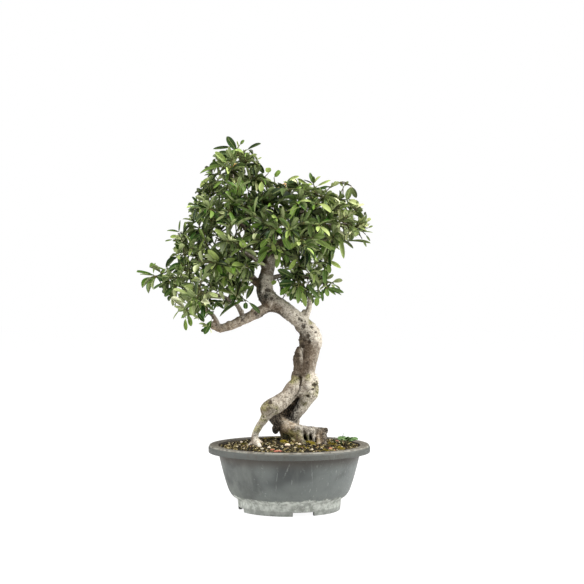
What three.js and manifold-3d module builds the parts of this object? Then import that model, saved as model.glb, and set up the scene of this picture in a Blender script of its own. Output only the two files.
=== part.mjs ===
// A firethorn bonsai in its round grey training pot, grown as a leaning tree on exposed roots.
// Millimetres, +Z up. The model is laid out round the pot's axis, with the front at -Y, and the
// group at the end moves it so that the origin is under the middle of the whole tree, at the pot's foot.

import * as THREE from "three";
import { mergeVertices } from "three/addons/utils/BufferGeometryUtils.js";
import Module from "manifold-3d";

// Driving dimensions of the pot
const RIM_RADIUS = 111;
const POT_HEIGHT = 89;
const LIP_WIDTH = 13.5;
const LIP_HEIGHT = 10;
const LIP_ROUND = 1.6;
const NECK_RADIUS = RIM_RADIUS - LIP_WIDTH;
const SHOULDER_RADIUS = 79.8;
const SHOULDER_HEIGHT = 22;
const WALL_FLARE = 0.72;
const WALL = 2.6;
const FLOOR_CORNER = 3;
const FOOT_RADIUS = 71.4;
const FOOT_WIDTH = 7;
const FOOT_BAND_HEIGHT = 15.8;
const FOOT_PAD_INSET = 1.8;
const FLOOR_HEIGHT = 8;
const GAP_HEIGHT = 5.3;
const GAP_ANGLE = 24;
const GAP_TURN = 16.3;
const DRAIN_RADIUS = 6;
const DRAIN_CIRCLE = 36;
const ROUND_SIDES = 26;

// Driving dimensions of the soil
const SOIL_EDGE = 85;
const SOIL_RISE = 10;
const SOIL_CLEARANCE = 0.45;
const MOUND_MIDDLE = 4;
const MOUND_STEEPNESS = 1.2;
const LUMP_HEIGHT = 0.9;
const GRIT_HEIGHT = 0.6;
const STONE_COUNT = 5;
const STONE_SIZE = [4, 3.4, 2.4];
const STONE_RISE = 0.4;
const GOLDEN_ANGLE = 137.5;

// Driving dimensions of the leaves and twigs
const LEAF_LENGTH = 24.5;
const LEAF_SPREAD = 0.16;
const LEAF_WIDTH = 0.42;
const LEAF_THICKNESS = 0.7;
const LEAF_NECK = 0.16;
const LEAF_NECK_WIDTH = 0.4;
const LEAF_WAIST = 0.32;
const LEAF_WAIST_WIDTH = 0.82;
const LEAF_WIDEST = 0.68;
const LEAST_DROOP = 0.04;
const DROOP_SPREAD = 0.14;
const SIDE_LEAF_LEAN = 0.95;
const ROSETTE_LEAN = 0.75;
const TIP_LEAF_LEAN = 0.1;
const LEAF_RISE = 0.25;
const CROWN_OUTLOOK = 0.006;
const TWIG_RADIUS = 1.6;
const SHORTEST_TWIG = 14;
const TIP_LEAF_REACH = 0.8 * LEAF_LENGTH;
const SIDE_TWIG_LENGTH = 18;
const SIDE_TWIG_LEAN = 0.85;
const SIDE_TWIG_FOOT = 0.2;
const LENGTH_FOR_ONE_SIDE_TWIG = 33;
const LENGTH_FOR_TWO_SIDE_TWIGS = 62;
const NODE_LENGTH = 1.6;
const NODE_SPACING = 9;
const LAST_NODE = 0.965;
const LEAFY_SHARE = 0.62;
const MOST_NODES = 4;
const BUD_RADIUS = 1.8;
const BUD_COUNT = 6;
const BUD_SPACING = 1.35 * BUD_RADIUS;
const WEED_LEAF_LENGTH = 6.5;
const WEED_LEAF_WIDTH = 0.8;
const WEED_LEAF_LEAN = 1.3;

// How near pieces may come to each other, and how often a leaf or twig looks for a free place
const CLEARANCE = 0.3;
const LEAF_CLEARANCE = 0.45;
const TWIG_CLEARANCE = 0.6;
const PETIOLE_ROOM = 1.3;
const TRIES = 16;
const SEED = 4711;

const wasm = await Module();
wasm.setup();
const v = (p) => new THREE.Vector3(p[0], p[1], p[2]);
const CROWN_MIDDLE = new THREE.Vector3(-45, 0, 370);

// Random numbers from 0 to 1 that are the same on every run
function seeded(seed) {
  let state = seed >>> 0;
  return () => {
    state = (state + 0x6d2b79f5) >>> 0;
    let mixed = Math.imul(state ^ (state >>> 15), state | 1);
    mixed ^= mixed + Math.imul(mixed ^ (mixed >>> 7), mixed | 61);
    return ((mixed ^ (mixed >>> 14)) >>> 0) / 4294967296;
  };
}
const random = seeded(SEED);
const spread = (size) => size * (2 * random() - 1);

// A closed geometry as a solid that can be joined and cut
function solid(geometry) {
  const shape = geometry.clone();
  for (const name of ["normal", "uv"]) shape.deleteAttribute(name);
  const merged = mergeVertices(shape, 1e-4);
  const triangles = [];
  for (let i = 0; i < merged.index.count; i += 3) {
    const [a, b, c] = merged.index.array.slice(i, i + 3);
    if (a !== b && b !== c && c !== a) triangles.push(a, b, c);
  }
  return new wasm.Manifold(
    new wasm.Mesh({
      numProp: 3,
      vertProperties: merged.attributes.position.array,
      triVerts: new Uint32Array(triangles),
    }),
  );
}

// A solid back as a geometry for a mesh
function geometryOf(body) {
  const mesh = body.getMesh();
  const geometry = new THREE.BufferGeometry();
  const places = new Float32Array(mesh.numVert * 3);
  for (let i = 0; i < mesh.numVert; i++)
    places.set(mesh.vertProperties.subarray(i * mesh.numProp, i * mesh.numProp + 3), i * 3);
  geometry.setAttribute("position", new THREE.BufferAttribute(places, 3));
  geometry.setIndex(new THREE.BufferAttribute(mesh.triVerts, 1));
  geometry.computeVertexNormals();
  return geometry;
}

const joined = (bodies) => bodies.reduce((sum, body) => sum.add(body));
const largest = (body) =>
  body.decompose().reduce((best, piece) => (piece.volume() > best.volume() ? piece : best));

// The point and radius of a limb at a share of its length from 0 to 1.
// A limb is a list of stations [x, y, z, radius] from its base to its tip.
function along(stations, share) {
  const path = new THREE.CatmullRomCurve3(stations.map(v), false, "centripetal");
  const reach = share * (stations.length - 1);
  const from = Math.min(Math.floor(reach), stations.length - 2);
  const radius = THREE.MathUtils.lerp(stations[from][3], stations[from + 1][3], reach - from);
  return { point: path.getPoint(share), tangent: path.getTangent(share), radius };
}

// Frames at shares of a limb: its middle, radius and tangent, with two directions across it that
// turn as little as they can from one frame to the next
function framesAt(stations, shares, firstAcross = null) {
  let across = firstAcross;
  return shares.map((share) => {
    const frame = along(stations, share);
    across ??= Math.abs(frame.tangent.x) > 0.8 ? new THREE.Vector3(0, 1, 0) : new THREE.Vector3(1, 0, 0);
    across = across.clone().addScaledVector(frame.tangent, -across.dot(frame.tangent)).normalize();
    return { ...frame, across, over: new THREE.Vector3().crossVectors(frame.tangent, across) };
  });
}

// A limb as a closed cylinder whose rings are laid along the stations. With few sides it is made a
// little fuller, so that it is as wide on average as the round limb. A swell makes it fatter and
// longer by that much, which is how its neighbours are cut clear of it.
function limb(stations, sides, swell = 0) {
  const rings = stations.length - 1;
  const frames = framesAt(stations, stations.map((_, station) => station / rings));
  frames[0].point.addScaledVector(frames[0].tangent, -swell);
  frames[rings].point.addScaledVector(frames[rings].tangent, swell);
  const geometry = new THREE.CylinderGeometry(1, 1, 1, sides, rings);
  const places = geometry.attributes.position;
  const fuller = 2 / (1 + Math.cos(Math.PI / sides));
  for (let i = 0; i < places.count; i++) {
    const frame = frames[Math.round((0.5 - places.getY(i)) * rings)];
    const radius = frame.radius * fuller + swell / Math.cos(Math.PI / sides);
    const place = frame.point
      .clone()
      .addScaledVector(frame.across, places.getX(i) * radius)
      .addScaledVector(frame.over, places.getZ(i) * radius);
    places.setXYZ(i, place.x, place.y, place.z);
  }
  return solid(geometry);
}

// The pot: one thin moulded shell turned round the axis, with a rolled lip whose edge turns down,
// a foot ring with four gaps, and drain holes in the floor

function wallRadius(z) {
  const share = (z - SHOULDER_HEIGHT) / (POT_HEIGHT - LIP_HEIGHT - SHOULDER_HEIGHT);
  return SHOULDER_RADIUS + (NECK_RADIUS - SHOULDER_RADIUS) * Math.max(share, 0) ** WALL_FLARE;
}
const WALL_HEIGHTS = [SHOULDER_HEIGHT, 35, 56, POT_HEIGHT - LIP_HEIGHT];

function turned(profile) {
  const points = profile.map(([r, z]) => new THREE.Vector2(r, z));
  return new THREE.LatheGeometry(points, ROUND_SIDES).rotateX(Math.PI / 2);
}

// A direction in plan at an angle in degrees from the front, towards +X
function bearing(degrees) {
  const turn = THREE.MathUtils.degToRad(degrees);
  return new THREE.Vector3(Math.sin(turn), -Math.cos(turn), 0);
}

function makePot() {
  const lipBottom = POT_HEIGHT - LIP_HEIGHT;
  const under = POT_HEIGHT - WALL;
  const outer = WALL_HEIGHTS.map((z) => [wallRadius(z), z]);
  const inner = WALL_HEIGHTS.map((z) => [wallRadius(z) - WALL, z + 1]).reverse();
  const shell = solid(
    turned([
      [0, FLOOR_HEIGHT],
      [FOOT_RADIUS - FOOT_WIDTH - FOOT_PAD_INSET, FLOOR_HEIGHT],
      [FOOT_RADIUS - FOOT_WIDTH, 0],
      [FOOT_RADIUS - FOOT_PAD_INSET, 0],
      [FOOT_RADIUS, FOOT_BAND_HEIGHT],
      ...outer,
      [NECK_RADIUS + 0.4, under],
      [RIM_RADIUS - WALL - 1, under],
      [RIM_RADIUS - WALL, lipBottom],
      [RIM_RADIUS - 0.2, lipBottom],
      [RIM_RADIUS, POT_HEIGHT - LIP_ROUND],
      [RIM_RADIUS - LIP_ROUND, POT_HEIGHT],
      [NECK_RADIUS - 0.6, POT_HEIGHT],
      ...inner,
      [FOOT_RADIUS - FLOOR_CORNER, FLOOR_HEIGHT + WALL],
      [0, FLOOR_HEIGHT + WALL],
    ]),
  );
  const gapWidth = 2 * FOOT_RADIUS * Math.sin(THREE.MathUtils.degToRad(GAP_ANGLE / 2));
  const cutters = [0, 90, 180, 270].map((quarter) => {
    const middle = bearing(GAP_TURN + quarter).multiplyScalar(FOOT_RADIUS - FOOT_WIDTH / 2);
    const gap = new THREE.BoxGeometry(gapWidth, 3 * FOOT_WIDTH, 2 * GAP_HEIGHT);
    gap.rotateZ(THREE.MathUtils.degToRad(GAP_TURN + quarter));
    return solid(gap.translate(middle.x, middle.y, 0));
  });
  const drains = [45, 135, 225, 315].map((turn) => {
    const middle = bearing(turn).multiplyScalar(DRAIN_CIRCLE);
    const drain = new THREE.CylinderGeometry(DRAIN_RADIUS, DRAIN_RADIUS, 4 * WALL, 8);
    return solid(drain.rotateX(Math.PI / 2).translate(middle.x, middle.y, FLOOR_HEIGHT + WALL / 2));
  });
  return shell.subtract(joined([...cutters, ...drains]));
}

// The soil: it fills the pot, rises to a low mound round the roots, and has a lumpy gritty top

function soilHeight(x, y) {
  const share = Math.min(Math.hypot(x - MOUND_MIDDLE, y) / NECK_RADIUS, 1);
  const lumps = LUMP_HEIGHT * Math.sin(0.37 * x + 1.1) * Math.cos(0.41 * y + 0.3);
  const grit = GRIT_HEIGHT * Math.sin(0.83 * x - 0.57 * y + 2);
  return SOIL_EDGE + SOIL_RISE * (1 - share ** 2) ** MOUND_STEEPNESS + lumps + grit;
}

function makeSoil(holes) {
  const topRadii = [80, 54, 26, 0];
  const edge = wallRadius(POT_HEIGHT - LIP_HEIGHT) - WALL - SOIL_CLEARANCE;
  const side = WALL_HEIGHTS.map((z) => [wallRadius(z) - WALL - SOIL_CLEARANCE, z + 1]);
  const body = turned([
    [0, FLOOR_HEIGHT + WALL + CLEARANCE],
    [FOOT_RADIUS - FLOOR_CORNER - SOIL_CLEARANCE, FLOOR_HEIGHT + WALL + CLEARANCE],
    ...side,
    [edge, SOIL_EDGE],
    ...topRadii.map((r) => [r, SOIL_EDGE]),
  ]);
  const places = body.attributes.position;
  for (let i = 0; i < places.count; i++)
    if (places.getZ(i) > SOIL_EDGE - 0.01) places.setZ(i, soilHeight(places.getX(i), places.getY(i)));
  const stones = Array.from({ length: STONE_COUNT }, (_, count) => {
    const place = bearing(count * GOLDEN_ANGLE).multiplyScalar(34 + 15 * Math.sqrt(count));
    const stone = new THREE.IcosahedronGeometry(1, 0);
    stone.scale(...STONE_SIZE.map((size) => size * (1 + spread(0.25)))).rotateZ(spread(Math.PI));
    return solid(stone.translate(place.x, place.y, soilHeight(place.x, place.y) + STONE_RISE));
  });
  return largest(joined([solid(body), ...stones]).subtract(joined(holes)));
}

// The wood, grown as one piece: legs and roots, trunk, stubs and branches.
// Stations are [x, y, z, radius], and each limb starts inside the one that it grows from.

const ROOTS = {
  left_thigh: [[14, -5, 175, 9], [7, -9, 167, 11.4], [-3, -13, 156, 11.4], [-13, -17, 147, 11.2],
    [-21, -20, 141.4, 11], [-29, -21, 137, 9.8], [-35.5, -21, 133.5, 5.6]],
  shin: [[-24, -20, 140, 8.4], [-31, -20, 130, 6.8], [-36, -19, 122, 5.6], [-41, -17, 115, 5],
    [-45.5, -17, 106, 4.6], [-47, -21, 98, 5.2], [-44, -32, 93, 5], [-39, -45, 88, 3.6]],
  shin_root: [[-46, -20, 97, 3.6], [-38, -22, 92.5, 2.8], [-30, -26, 88, 2.2]],
  right_thigh: [[18, 3, 182, 12.5], [25.4, 2, 174, 12.8], [27, 1, 162.5, 12.8], [23.2, 2, 150.7, 10.8],
    [17, 3, 138.7, 8.4], [9.1, 4, 127, 7.4], [3, 4, 115, 7.4]],
  arch_back: [[16, 10, 168, 9], [6, 11, 156, 10], [-2, 11, 143, 10.5], [-8, 10, 130, 9.5],
    [-10, 9, 119, 8]],
  cross_root: [[-24, 4, 127, 6.4], [-17, 2, 121.5, 9.4], [-8, -1, 115.5, 10], [4, -3, 110, 9],
    [18.8, -3, 107.3, 7.8], [34, -2, 106, 7.1], [50, -2, 105.8, 6.4]],
  root_middle: [[9, -5, 106, 5], [14, -18, 100, 4.4], [19, -34, 93, 3.6], [22, -46, 86, 2.6]],
  root_thin: [[39, -3, 103, 2.8], [39.5, -18, 99, 2.6], [39, -34, 92.5, 2.4], [39, -45, 86, 2]],
  root_right: [[46, -2, 105, 5.4], [46.5, -16, 100, 4.8], [46.5, -32, 93, 4.2], [46, -44, 86, 3]],
  root_left: [[-13, 7, 116, 5], [-8, 10, 104, 5.2], [-5, 12, 86, 4.2]],
  root_back: [[8, 6, 128, 7], [5, 16, 110, 8], [3, 22, 95, 7.4], [2, 25, 78, 5.4]],
};

const TRUNK = {
  trunk: [[19, 0, 164, 13], [20.2, 0, 176.5, 17.2], [19.6, 1, 188.4, 15.9], [23.5, 2, 206.5, 15.2],
    [27.4, 3, 221.4, 14.8], [27.8, 3, 235, 16.6], [22, 1, 247, 14], [10, -1, 260, 12.2],
    [-9, -4, 276, 12], [-26, -4, 285.5, 12.4], [-33, -2, 296, 11.6], [-34, 0, 308, 11],
    [-30.5, 4, 325, 9.6], [-27.2, 7, 339.6, 9.2], [-22.4, 9, 354, 7.4]],
  knob: [[16, -3, 190, 8], [13.4, -6, 203, 8], [13, -7, 214, 7], [15, -6, 223, 4]],
  stub: [[22, 1, 262, 4.6], [26, 1, 272, 3.8], [28.2, 0, 281, 3.7], [28.9, -1, 294.6, 3.4]],
};

const BRANCHES = {
  leader: [[-25, 8, 344, 7], [-38, 5, 367, 6.4], [-52.7, 2, 381, 5.4], [-66, -2, 395, 4.6],
    [-75, -4, 416, 4], [-79, -3, 440, 3.2], [-78, 0, 464, 2.4]],
  right: [[-24, 8, 350, 6.8], [-6, 11, 368, 6.2], [20, 9, 380, 5.4], [44, 4, 386, 4.4],
    [60, 0, 389, 3.6], [78, -4, 390.5, 2.6]],
  right_high: [[-6, 11, 368, 4.6], [6, 16, 392, 4.2], [22, 16, 414, 3.4], [36, 12, 434, 2.4]],
  back: [[-31, 3, 322, 6], [-24, 26, 340, 5], [-14, 48, 354, 4], [-4, 64, 368, 3]],
  forward: [[-24, 8, 350, 5], [-18, -12, 360, 4.4], [-8, -34, 368, 3.4], [2, -52, 372, 2.6]],
  forward_left: [[-29, 4, 330, 4], [-40, -12, 338, 3], [-52, -26, 346, 2.8], [-66, -38, 356, 2.2]],
  left: [[-34, 0, 304, 6], [-46, 6, 312, 5.4], [-60, 10, 326, 4.8], [-80, 12, 336, 4],
    [-104, 12, 340, 3.2], [-132, 8, 340, 2.4]],
  left_back: [[-60, 10, 326, 3.6], [-80, 30, 322, 3], [-104, 44, 320, 2.2]],
  lower_left: [[-12, -4, 276, 8], [-28.2, -8, 278.2, 7], [-44.8, -11, 270, 6.5], [-63.3, -13, 261.5, 5.8],
    [-80.2, -14, 253.3, 5.4], [-94.9, -14, 248.2, 5.4], [-104.9, -14, 250.6, 5]],
  lower_left_spur: [[-62, -13, 261, 3.4], [-71.5, -10, 279.8, 3], [-90, -4, 291, 2.6],
    [-114, -2, 298, 2.2]],
  lower_left_end: [[-94.9, -14, 249, 3.6], [-104, -18, 266, 3], [-122, -22, 279, 2.2]],
  apex_left: [[-66, -2, 395, 3.6], [-86, -14, 402, 2.8], [-106, -22, 404, 2.2]],
  apex_back: [[-52.7, 2, 381, 4], [-68, 22, 393, 3.2], [-82, 38, 402, 2.4]],
  low_right: [[-30, 4, 314, 4.4], [-14, 14, 320, 3.4], [8, 14, 320, 2.8], [30, 8, 317, 2.2]],
  right_back: [[20, 9, 380, 3.8], [30, 26, 388, 3], [42, 42, 394, 2.2]],
};

const LIMB_SIDES = { trunk: 12, left_thigh: 9, right_thigh: 9, cross_root: 8, shin: 7, lower_left: 7 };
const limbSides = (name, stations) => LIMB_SIDES[name] ?? (stations[0][3] > 5 ? 6 : 4);
const WOOD = { ...ROOTS, ...TRUNK, ...BRANCHES };

function makeWood(limbs, swell = 0) {
  return joined(
    Object.entries(limbs).map(([name, stations]) =>
      limb(stations, limbSides(name, stations), swell),
    ),
  );
}

// The leafy shoots: each grows from a branch, at a share of its length, and its leaves reach to a
// place in space. A positive bow lifts the middle of the shoot, and a negative one lets it hang.

const SHOOTS = [
  { node: "apex_1", on: "leader", at: 1, reach: [-84, -4, 503], bow: 0 },
  { node: "apex_2", on: "leader", at: 0.9, reach: [-122, -14, 466], bow: 6 },
  { node: "apex_3", on: "leader", at: 0.97, reach: [-48, 6, 482], bow: 3 },
  { node: "apex_4", on: "leader", at: 0.9, reach: [-80, 48, 486], bow: 6 },
  { node: "apex_5", on: "leader", at: 0.86, reach: [-78, -50, 472], bow: 5 },
  { node: "apex_6", on: "leader", at: 0.8, reach: [-28, -18, 462], bow: 6 },
  { node: "apex_7", on: "leader", at: 0.72, reach: [-128, -10, 440], bow: 6 },
  { node: "apex_8", on: "leader", at: 0.8, reach: [-114, 44, 456], bow: 5 },
  { node: "apex_9", on: "leader", at: 0.62, reach: [-20, -44, 424], bow: 5 },
  { node: "upper_left_1", on: "apex_left", at: 1, reach: [-142, -20, 424], bow: 3 },
  { node: "upper_left_2", on: "apex_left", at: 0.8, reach: [-150, -4, 388], bow: -2 },
  { node: "upper_left_3", on: "apex_left", at: 0.6, reach: [-116, -66, 412], bow: 5 },
  { node: "upper_left_4", on: "apex_back", at: 1, reach: [-122, 62, 412], bow: 4 },
  { node: "upper_left_5", on: "apex_back", at: 0.85, reach: [-76, 90, 402], bow: 5 },
  { node: "upper_left_6", on: "leader", at: 0.5, reach: [-76, -64, 424], bow: 4 },
  { node: "left_1", on: "left", at: 1, reach: [-203, -6, 312], bow: 0 },
  { node: "left_2", on: "left", at: 0.86, reach: [-164, 12, 378], bow: 4 },
  { node: "left_3", on: "left", at: 0.8, reach: [-168, -36, 350], bow: 4 },
  { node: "left_4", on: "lower_left_spur", at: 1, reach: [-176, 2, 298], bow: 6 },
  { node: "left_5", on: "lower_left_end", at: 1, reach: [-158, -18, 266], bow: 4 },
  { node: "left_6", on: "lower_left", at: 0.97, reach: [-112, -34, 250], bow: 2 },
  { node: "left_7", on: "lower_left_end", at: 0.6, reach: [-132, -62, 300], bow: 4 },
  { node: "left_8", on: "left", at: 0.6, reach: [-104, -62, 336], bow: 5 },
  { node: "left_9", on: "lower_left_spur", at: 0.45, reach: [-66, -44, 300], bow: 4 },
  { node: "left_10", on: "left_back", at: 1, reach: [-158, 54, 324], bow: 4 },
  { node: "left_11", on: "left_back", at: 0.7, reach: [-98, 90, 338], bow: 5 },
  { node: "left_12", on: "lower_left_spur", at: 0.8, reach: [-132, 42, 278], bow: 3 },
  { node: "left_13", on: "left", at: 0.72, reach: [-122, -24, 382], bow: 3 },
  { node: "front_1", on: "forward", at: 0.7, reach: [-44, -74, 396], bow: 5 },
  { node: "front_2", on: "forward", at: 1, reach: [0, -94, 388], bow: 4 },
  { node: "front_3", on: "forward", at: 0.85, reach: [34, -76, 352], bow: 3 },
  { node: "front_4", on: "forward_left", at: 1, reach: [-92, -76, 372], bow: 4 },
  { node: "front_5", on: "forward_left", at: 0.6, reach: [-62, -58, 322], bow: 4 },
  { node: "front_6", on: "forward", at: 0.5, reach: [-22, -62, 350], bow: 4 },
  { node: "right_1", on: "right", at: 0.8, reach: [72, -6, 444], bow: 3 },
  { node: "right_2", on: "right", at: 0.92, reach: [104, -8, 426], bow: 3 },
  { node: "right_3", on: "right", at: 1, reach: [107, 4, 385], bow: 2 },
  { node: "right_4", on: "right", at: 0.74, reach: [60, -40, 346], bow: -2 },
  { node: "right_5", on: "right_high", at: 1, reach: [33, 12, 450], bow: 0 },
  { node: "right_6", on: "right_high", at: 0.75, reach: [2, 6, 460], bow: 4 },
  { node: "right_7", on: "right_high", at: 0.6, reach: [-24, -8, 446], bow: 5 },
  { node: "right_8", on: "right_high", at: 0.8, reach: [58, -42, 430], bow: 5 },
  { node: "right_9", on: "right_high", at: 0.5, reach: [10, -60, 424], bow: 5 },
  { node: "right_10", on: "right", at: 0.6, reach: [48, -52, 392], bow: 4 },
  { node: "back_1", on: "right_back", at: 1, reach: [62, 84, 412], bow: 4 },
  { node: "back_2", on: "right_high", at: 0.7, reach: [12, 72, 440], bow: 4 },
  { node: "back_3", on: "right_back", at: 0.9, reach: [96, 46, 398], bow: 4 },
  { node: "back_4", on: "back", at: 1, reach: [16, 98, 382], bow: 4 },
  { node: "back_5", on: "back", at: 0.9, reach: [-36, 94, 388], bow: 4 },
  { node: "low_right_1", on: "low_right", at: 1, reach: [76, -14, 306], bow: 3 },
  { node: "low_right_2", on: "low_right", at: 0.85, reach: [20, -22, 284], bow: 4 },
  { node: "low_right_3", on: "low_right", at: 0.8, reach: [52, 44, 330], bow: 3 },
  { node: "low_right_4", on: "low_right", at: 0.55, reach: [8, -40, 318], bow: 4 },
];

// A growing skin of triangles. Its pieces join at loops of four corners, in the order
// (+across, -over), (+across, +over), (-across, +over), (-across, -over).

function loopOf(skin, middle, across, over, halfWidth, halfHeight) {
  return [[1, -1], [1, 1], [-1, 1], [-1, -1]].map(([out, up]) => {
    skin.places.push(
      middle.clone().addScaledVector(across, out * halfWidth).addScaledVector(over, up * halfHeight),
    );
    return skin.places.length - 1;
  });
}

// One side between two loops, as two triangles. Opposite sides are split along the same diagonal.
function bridgeSide(skin, from, to, side) {
  const next = (side + 1) % 4;
  const [a, b, c, d] = [from[side], from[next], to[next], to[side]];
  if (side < 2) skin.index.push(a, b, c, a, c, d);
  else skin.index.push(a, b, d, b, c, d);
}
const bridge = (skin, from, to) => [0, 1, 2, 3].forEach((side) => bridgeSide(skin, from, to, side));

function capStart(skin, loop) {
  skin.index.push(loop[0], loop[2], loop[1], loop[0], loop[3], loop[2]);
}

// The number of quarter turns of a loop that twist it least against the loop it joins
function leastTwist(skin, from, to) {
  const middle = (loop) =>
    loop.reduce((sum, id) => sum.add(skin.places[id]), new THREE.Vector3()).divideScalar(4);
  const [fromMiddle, toMiddle] = [middle(from), middle(to)];
  const strain = (turns) =>
    turnLoop(to, turns).reduce((sum, id, corner) => {
      const here = skin.places[from[corner]].clone().sub(fromMiddle).normalize();
      const there = skin.places[id].clone().sub(toMiddle).normalize();
      return sum + here.distanceToSquared(there);
    }, 0);
  return [0, 1, 2, 3].reduce((least, turns) => (strain(turns) < strain(least) ? turns : least));
}
const turnLoop = (loop, turns) => loop.map((_, corner) => loop[(corner + turns) % 4]);

// A leaf: an arched blade, the same thickness all over, widest past its middle, drooping to its tip.
// It grows out of the loop it is given, or starts with a closed end of its own.
function growLeaf(skin, base, leaf) {
  const { root, towards, facing, length, width, droop } = leaf;
  const across = new THREE.Vector3().crossVectors(facing, towards);
  const middle = (share) =>
    root
      .clone()
      .addScaledVector(towards, share * length)
      .addScaledVector(facing, -droop * length * share ** 2);
  const ring = (share, part) =>
    loopOf(skin, middle(share), across, facing, (part * width) / 2, LEAF_THICKNESS / 2);
  const start = base ?? ring(LEAF_NECK, LEAF_NECK_WIDTH);
  if (!base) capStart(skin, start);
  const waist = ring(LEAF_WAIST, LEAF_WAIST_WIDTH);
  const turns = leastTwist(skin, start, waist);
  const widest = turnLoop(ring(LEAF_WIDEST, 1), turns);
  bridge(skin, start, turnLoop(waist, turns));
  bridge(skin, turnLoop(waist, turns), widest);
  const [upperTip, lowerTip] = [1, -1].map((side) => {
    skin.places.push(middle(1).addScaledVector(facing, (side * LEAF_THICKNESS) / 2));
    return skin.places.length - 1;
  });
  const isUpper = (id) => skin.places[id].clone().sub(middle(LEAF_WIDEST)).dot(facing) > 0;
  const tipOf = (id) => (isUpper(id) ? upperTip : lowerTip);
  widest.forEach((corner, side) => {
    const next = widest[(side + 1) % 4];
    skin.index.push(corner, next, tipOf(next));
    if (tipOf(corner) !== tipOf(next)) skin.index.push(corner, tipOf(next), tipOf(corner));
  });
}

function skinSolid(skin) {
  const geometry = new THREE.BufferGeometry();
  const places = skin.places.flatMap((place) => place.toArray());
  geometry.setAttribute("position", new THREE.Float32BufferAttribute(places, 3));
  geometry.setIndex(skin.index);
  return solid(geometry);
}

function leafSolid(leaf) {
  const skin = { places: [], index: [] };
  growLeaf(skin, null, leaf);
  return skinSolid(skin);
}

// What a new leaf or twig has to stay clear of, each with the middle and radius of its box
const boxed = (body) => {
  const box = body.boundingBox();
  const [low, high] = [v(box.min), v(box.max)];
  return { body, middle: low.clone().lerp(high, 0.5), reach: low.distanceTo(high) / 2 };
};
const limbsOfWood = Object.entries(WOOD).map(([name, stations]) =>
  boxed(limb(stations, limbSides(name, stations))),
);
const growth = [];
const petioles = [];
const keep = (body, spray) => growth.push({ ...boxed(body), spray });
function isClear(body, clearance, others) {
  const { middle, reach } = boxed(body);
  return others.every(
    (other) =>
      middle.distanceTo(other.middle) > reach + clearance + other.reach ||
      body.minGap(other.body, 2 * clearance) > clearance,
  );
}

// A twig with rings at its start and on both sides of each node. A node is where leaves or a side
// twig grow, one from each of its four faces at most, and the last node is the twig's end.
function makeTwig(stations, start, nodeShares, firstAcross) {
  const length = v(stations[0]).distanceTo(v(stations.at(-1)));
  const half = NODE_LENGTH / 2 / length;
  const shares = [start, ...nodeShares.flatMap((share) => [share - half, share + half])];
  const rings = framesAt(stations, shares, firstAcross);
  const nodes = nodeShares.map((_, i) => ({
    rings: [rings[2 * i + 1], rings[2 * i + 2]],
    grown: [null, null, null, null],
  }));
  return { rings, nodes, end: null };
}

const twigLimb = ({ rings }, swell = 0) =>
  limb(
    rings.map(({ point, radius }) => [...point.toArray(), radius]),
    6,
    swell,
  );

// The middle of a face of a node, and the direction that it looks in
function faceOf(node, face) {
  const [{ point, tangent, across, over, radius }, second] = node.rings;
  const outward = [across, over][face % 2].clone().multiplyScalar(face < 2 ? 1 : -1);
  const root = point.clone().lerp(second.point, 0.5).addScaledVector(outward, radius * Math.SQRT1_2);
  return { outward, tangent, root };
}

function growTwig(skin, base, twig) {
  const ring = ({ point, across, over, radius }) =>
    loopOf(skin, point, across, over, radius * Math.SQRT1_2, radius * Math.SQRT1_2);
  let loop = base ?? ring(twig.rings[0]);
  if (!base) capStart(skin, loop);
  for (const { rings, grown } of twig.nodes) {
    const [first, second] = rings.map(ring);
    bridge(skin, loop, first);
    grown.forEach((growth, side) => {
      if (!growth) return bridgeSide(skin, first, second, side);
      const next = (side + 1) % 4;
      const face = [first[side], first[next], second[next], second[side]];
      if (growth.nodes) growTwig(skin, face, growth);
      else growLeaf(skin, face, growth);
    });
    loop = second;
  }
  if (twig.end) growLeaf(skin, loop, twig.end);
  else skin.index.push(loop[0], loop[1], loop[2], loop[0], loop[2], loop[3]);
}

const TREE_LEAF = { length: LEAF_LENGTH, width: LEAF_WIDTH };
const WEED_LEAF = { length: WEED_LEAF_LENGTH, width: WEED_LEAF_WIDTH };

// A leaf that leaves a place on a twig at an angle and looks more or less up and out of the crown
function planLeaf(root, tangent, outward, lean, swing, kind) {
  const aside = outward.clone().applyAxisAngle(tangent, swing);
  const towards = tangent.clone().multiplyScalar(Math.cos(lean)).addScaledVector(aside, Math.sin(lean));
  towards.z += spread(LEAF_RISE);
  towards.normalize();
  const facing = new THREE.Vector3(spread(1), spread(1), 0.9);
  facing.addScaledVector(root, CROWN_OUTLOOK).addScaledVector(CROWN_MIDDLE, -CROWN_OUTLOOK);
  facing.addScaledVector(towards, -facing.dot(towards)).normalize();
  const length = kind.length * (1 + spread(LEAF_SPREAD));
  const droop = LEAST_DROOP + DROOP_SPREAD * random();
  return { root, towards, facing, length, width: length * kind.width, droop };
}

// The foot of a leaf, as a plain limb that other sprays stay clear of
function petioleOf({ root, towards, length }) {
  const neck = root.clone().addScaledVector(towards, LEAF_NECK * length);
  return limb([[...root.toArray(), PETIOLE_ROOM], [...neck.toArray(), PETIOLE_ROOM]], 4);
}

function placeLeaf(spray, { root, tangent, outward }, lean, kind = TREE_LEAF) {
  const ofOthers = (piece) => piece.spray !== spray;
  for (let attempt = 0; attempt < TRIES; attempt++) {
    const loose = attempt / TRIES;
    const angles = [lean + spread(0.1 + 0.35 * loose), spread(0.3 + 0.5 * loose)];
    const leaf = planLeaf(root, tangent, outward, ...angles, kind);
    const blade = leafSolid(leaf);
    const petiole = petioleOf(leaf);
    const round = [...limbsOfWood, ...growth, ...petioles.filter(ofOthers)];
    if (!isClear(blade, LEAF_CLEARANCE, round)) continue;
    if (!isClear(petiole, CLEARANCE, round.filter(ofOthers))) continue;
    keep(blade, spray);
    petioles.push({ ...boxed(petiole), spray });
    return leaf;
  }
  return null;
}

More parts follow.
